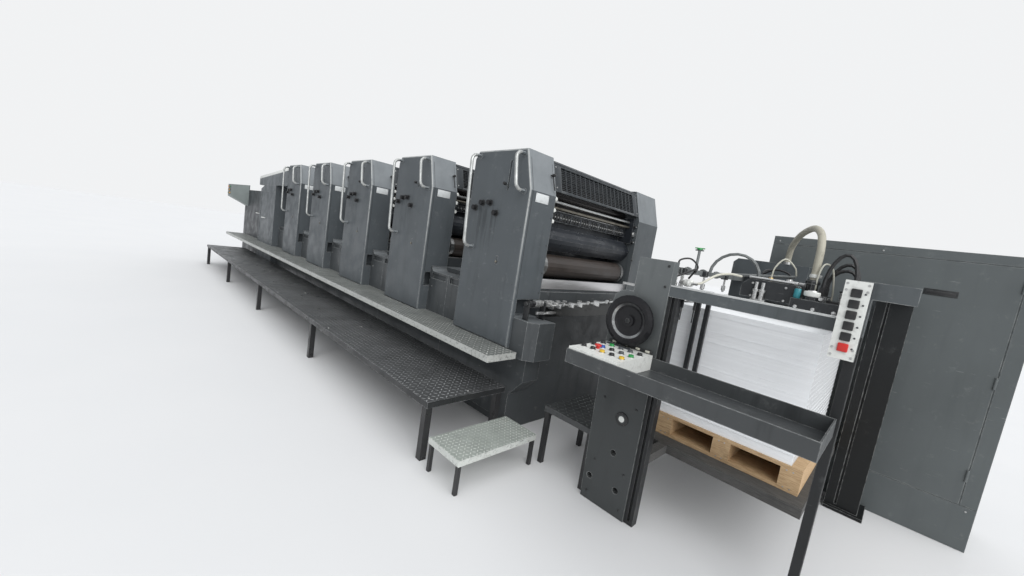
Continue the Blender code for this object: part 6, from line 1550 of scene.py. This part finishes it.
@dataclass
class Controls(Assembly):
    """Control desk, hanging control box and handwheel."""

    finishes: ClassVar = {"control_desk": Paints.WHITE, "control_box": Paints.BOX,
                          "handwheel": Paints.WHEEL}
    buttons: ClassVar = (
        Paints.BUTTON, Paints.BUTTON, Paints.YELLOW, Paints.BUTTON, Paints.YELLOW,
        Paints.BUTTON, Paints.BLUE, Paints.BUTTON, Paints.KEY, Paints.GREEN,
        Paints.BUTTON, Paints.GREEN, Paints.KEY, Paints.KEY, Paints.BUTTON)
    desk: Point = (3.506, -1.264, 0.932)
    button_step: Pair = (0.054, 0.08925)
    box: tuple[Point, Point] = ((4.459, -0.970, 1.157), (4.536, -0.900, 1.450))
    keys: int = 6
    key_step: float = 0.0406
    key_half: float = 0.0158

    def dress(self) -> None:
        """Add the controls' pieces."""
        for step in (self.desk_buttons, self.box_keys, self.wheel_hub):
            step()

    def desk_buttons(self) -> None:
        """Coloured push buttons, lamps and a mushroom button on the desk."""
        mould = Mould("desk_buttons")
        left, near, top = self.desk
        for (row, column), finish in zip(product(range(3), range(5)), self.buttons):
            spot = [(left + self.button_step[0] * (column + 0.5),
                     near + self.button_step[1] * (row + 1), top - 0.001)]
            mould.lathe(Paints.STEEL, Outline.BUTTON_BEZEL, Way.UP, 24, spot)
            mould.lathe(finish, Outline.PUSH_BUTTON, Way.UP, 24, spot)
        mould.lathe(Paints.RED, Outline.MUSHROOM, Way.UP, 28, [(3.587, -1.130, top - 0.001)])
        mould.slab(Paints.KEY, (3.520, -0.960, top - 0.001), (3.660, -0.925, top + 0.003), 0.0015)
        mould.deliver("press", Slot.PANEL)

    def box_keys(self) -> None:
        """Five dark keys, a red one, lamps and corner screws on the control box."""
        mould = Mould("box_keys")
        low, high = Vector(self.box[0]), Vector(self.box[1])
        mid, half = (low.x + high.x) / 2, self.key_half
        ends = (low.z + 0.012, low.z + 0.040, high.z - 0.012, high.z - 0.036)
        for index in range(self.keys):
            height = low.z + 0.045 + self.key_step * index
            mould.slab(Paints.BUTTON if index else Paints.RED,
                       (mid - half, low.y - 0.0085, height - half),
                       (mid + half, low.y + 0.001, height + half), 0.003)
            mould.lathe(Paints.KEY, Outline.BOX_LAMP, Way.OPERATOR, 10,
                        [(mid + 0.026, low.y, height)])
        mould.lathe(Paints.STEEL, Outline.BOX_SCREW, Way.OPERATOR, 12,
                    grid((low.x + 0.008, high.x - 0.008), low.y + 0.0005, ends))
        mould.deliver("press", Slot.PANEL)

    def wheel_hub(self) -> None:
        """The handwheel's hub nut."""
        mould = Mould("handwheel_nut")
        low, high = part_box("handwheel")
        mould.lathe(Paints.BLACK, Outline.HUB_NUT, Way.OPERATOR, 6,
                    [((low.x + high.x) / 2, low.y + 0.004, (low.z + high.z) / 2)])
        mould.deliver("wheel", Slot.BLACK)


@dataclass
class Cabinet(Assembly):
    """The electrical cabinet on the drive side."""

    finishes: ClassVar = {"control_cabinet": Paints.CABINET}
    face: float = 0.7203
    seam_x: float = 5.065
    pull: Pair = (4.755, 1.49)

    def dress(self) -> None:
        """The recessed pull, screws and hinges."""
        mould = Mould("cabinet_trim")
        face, (x, z) = self.face, self.pull
        mould.slab(Paints.BLACK, (x - 0.075, face - 0.0022, z - 0.020),
                   (x + 0.075, face + 0.001, z + 0.020), 0.0015)
        mould.slab(Paints.RUBBER, (x - 0.062, face - 0.0030, z - 0.011),
                   (x + 0.062, face + 0.001, z + 0.007), 0.001)
        mould.lathe(Paints.STEEL, Outline.CABINET_SCREW, Way.OPERATOR, 12,
                    grid((3.86, 4.45, 5.10), face + 0.0005, (1.715, 0.24)))
        mould.lathe(Paints.CABINET, rod(0.007, 0.035), Way.UP, 14,
                    grid(self.seam_x, face - 0.0010, (0.45, 1.02, 1.58)))
        mould.deliver("press", Slot.PRESS)


@dataclass
class Studio:
    """Camera, pale floor and soft lights."""

    camera_at: Point = (4.64, -2.88, 1.40)
    right: Point = (0.6916, 0.7056, 0.1542)
    down: Point = (0.1912, 0.0271, -0.9812)
    ahead: Point = (-0.6965, 0.7081, -0.1162)
    focal_pixels: float = 400.0
    image_width: int = 1024
    sensor: float = 36.0
    floor_half: float = 40.0
    floor_gap: float = 0.001
    sky: Colour = (0.93, 0.96, 1.0)
    sky_strength: float = 0.62
    backdrop: Colour = (0.88, 0.89, 0.90)
    lamps: tuple[tuple[str, Point, float, float], ...] = (
        ("ceiling", (-0.50, 0.22, -1.0), 1.45, 70.0),
        ("front", (-0.75, 0.62, -0.50), 1.12, 50.0),
        ("feeder", (-1.0, 0.05, -0.30), 0.70, 45.0),
        ("back", (0.3, -1.0, -0.6), 0.45, 60.0))

    def camera(self) -> None:
        """A camera at the photograph's angle."""
        lens = bpy.data.cameras.new("camera")
        lens.sensor_width = self.sensor
        lens.lens = self.focal_pixels / self.image_width * self.sensor
        holder = bpy.data.objects.new("camera", lens)
        bpy.context.scene.collection.objects.link(holder)
        axes = (Vector(self.right), -Vector(self.down), -Vector(self.ahead))
        place = Matrix(axes).transposed().to_4x4()
        place.translation = Vector(self.camera_at)
        holder.matrix_world = place
        bpy.context.scene.camera = holder

    def lamp(self, name: str, towards: Point, strength: float, softness: float) -> None:
        """A soft lamp so far off that it lights the whole floor evenly.

        Args:
            name: Its name.
            towards: The way that its light goes.
            strength: Its strength.
            softness: The angle that it fills, in degrees.
        """
        light = bpy.data.lights.new(name, "SUN")
        light.energy = strength
        light.angle = math.radians(softness)
        holder = bpy.data.objects.new(name, light)
        holder.rotation_euler = Vector(towards).to_track_quat("-Z", "Y").to_euler()
        bpy.context.scene.collection.objects.link(holder)

    def floor(self) -> None:
        """A pale floor that catches the press's shadow."""
        graph = Graph("studio floor")
        tone = graph.mix(graph.noise(0.8, 4.0), (0.68, 0.685, 0.69), (0.72, 0.72, 0.72))
        graph.set(base_color=tone, roughness=0.75)
        shape = bmesh.new()
        bmesh.ops.create_grid(shape, x_segments=2, y_segments=2, size=self.floor_half,
                              matrix=Matrix.Translation((0, 0, -self.floor_gap)))
        mesh = bpy.data.meshes.new("studio_floor")
        shape.to_mesh(mesh)
        shape.free()
        mesh.materials.append(graph.material)
        ground = bpy.data.objects.new("studio_floor", mesh)
        bpy.context.scene.collection.objects.link(ground)

    def world(self) -> None:
        """Plain light from all round, and a pale background."""
        world = bpy.data.worlds.new("studio")
        world.use_nodes = True
        tree = world.node_tree
        shade = tree.nodes["Background"]
        shade.inputs["Color"].default_value = (*self.sky, 1.0)
        shade.inputs["Strength"].default_value = self.sky_strength
        seen = tree.nodes.new("ShaderNodeBackground")
        seen.inputs["Color"].default_value = (*self.backdrop, 1.0)
        path = tree.nodes.new("ShaderNodeLightPath")
        mix = tree.nodes.new("ShaderNodeMixShader")
        for output, socket in ((path.outputs["Is Camera Ray"], mix.inputs[0]),
                               (shade.outputs[0], mix.inputs[1]), (seen.outputs[0], mix.inputs[2]),
                               (mix.outputs[0], tree.nodes["World Output"].inputs["Surface"])):
            tree.links.new(output, socket)
        bpy.context.scene.world = world

    def build(self) -> None:
        """Set up the whole studio."""
        bpy.context.scene.view_settings.view_transform = "Standard"
        self.camera()
        self.floor()
        self.world()
        for lamp in self.lamps:
            self.lamp(*lamp)
        LOG.info("studio is set")


def main() -> None:
    """Build the studio and dress every sub-assembly, one after the other."""
    logging.basicConfig(level=logging.INFO, format="%(name)s: %(message)s")
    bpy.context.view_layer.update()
    Studio().build()
    for number, centre in enumerate((2.40, 1.20, 0.0, -1.20, -2.40), start=1):
        PrintingUnit(number, centre).build()
    for assembly in (CoatingAndDelivery(), Walkways(), FeederFrame(), Pile(), SuctionHead(),
                     Controls(), Cabinet()):
        assembly.build()
        LOG.info("%s is dressed", type(assembly).__name__)


if __name__ == "__main__":
    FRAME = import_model()
    main()
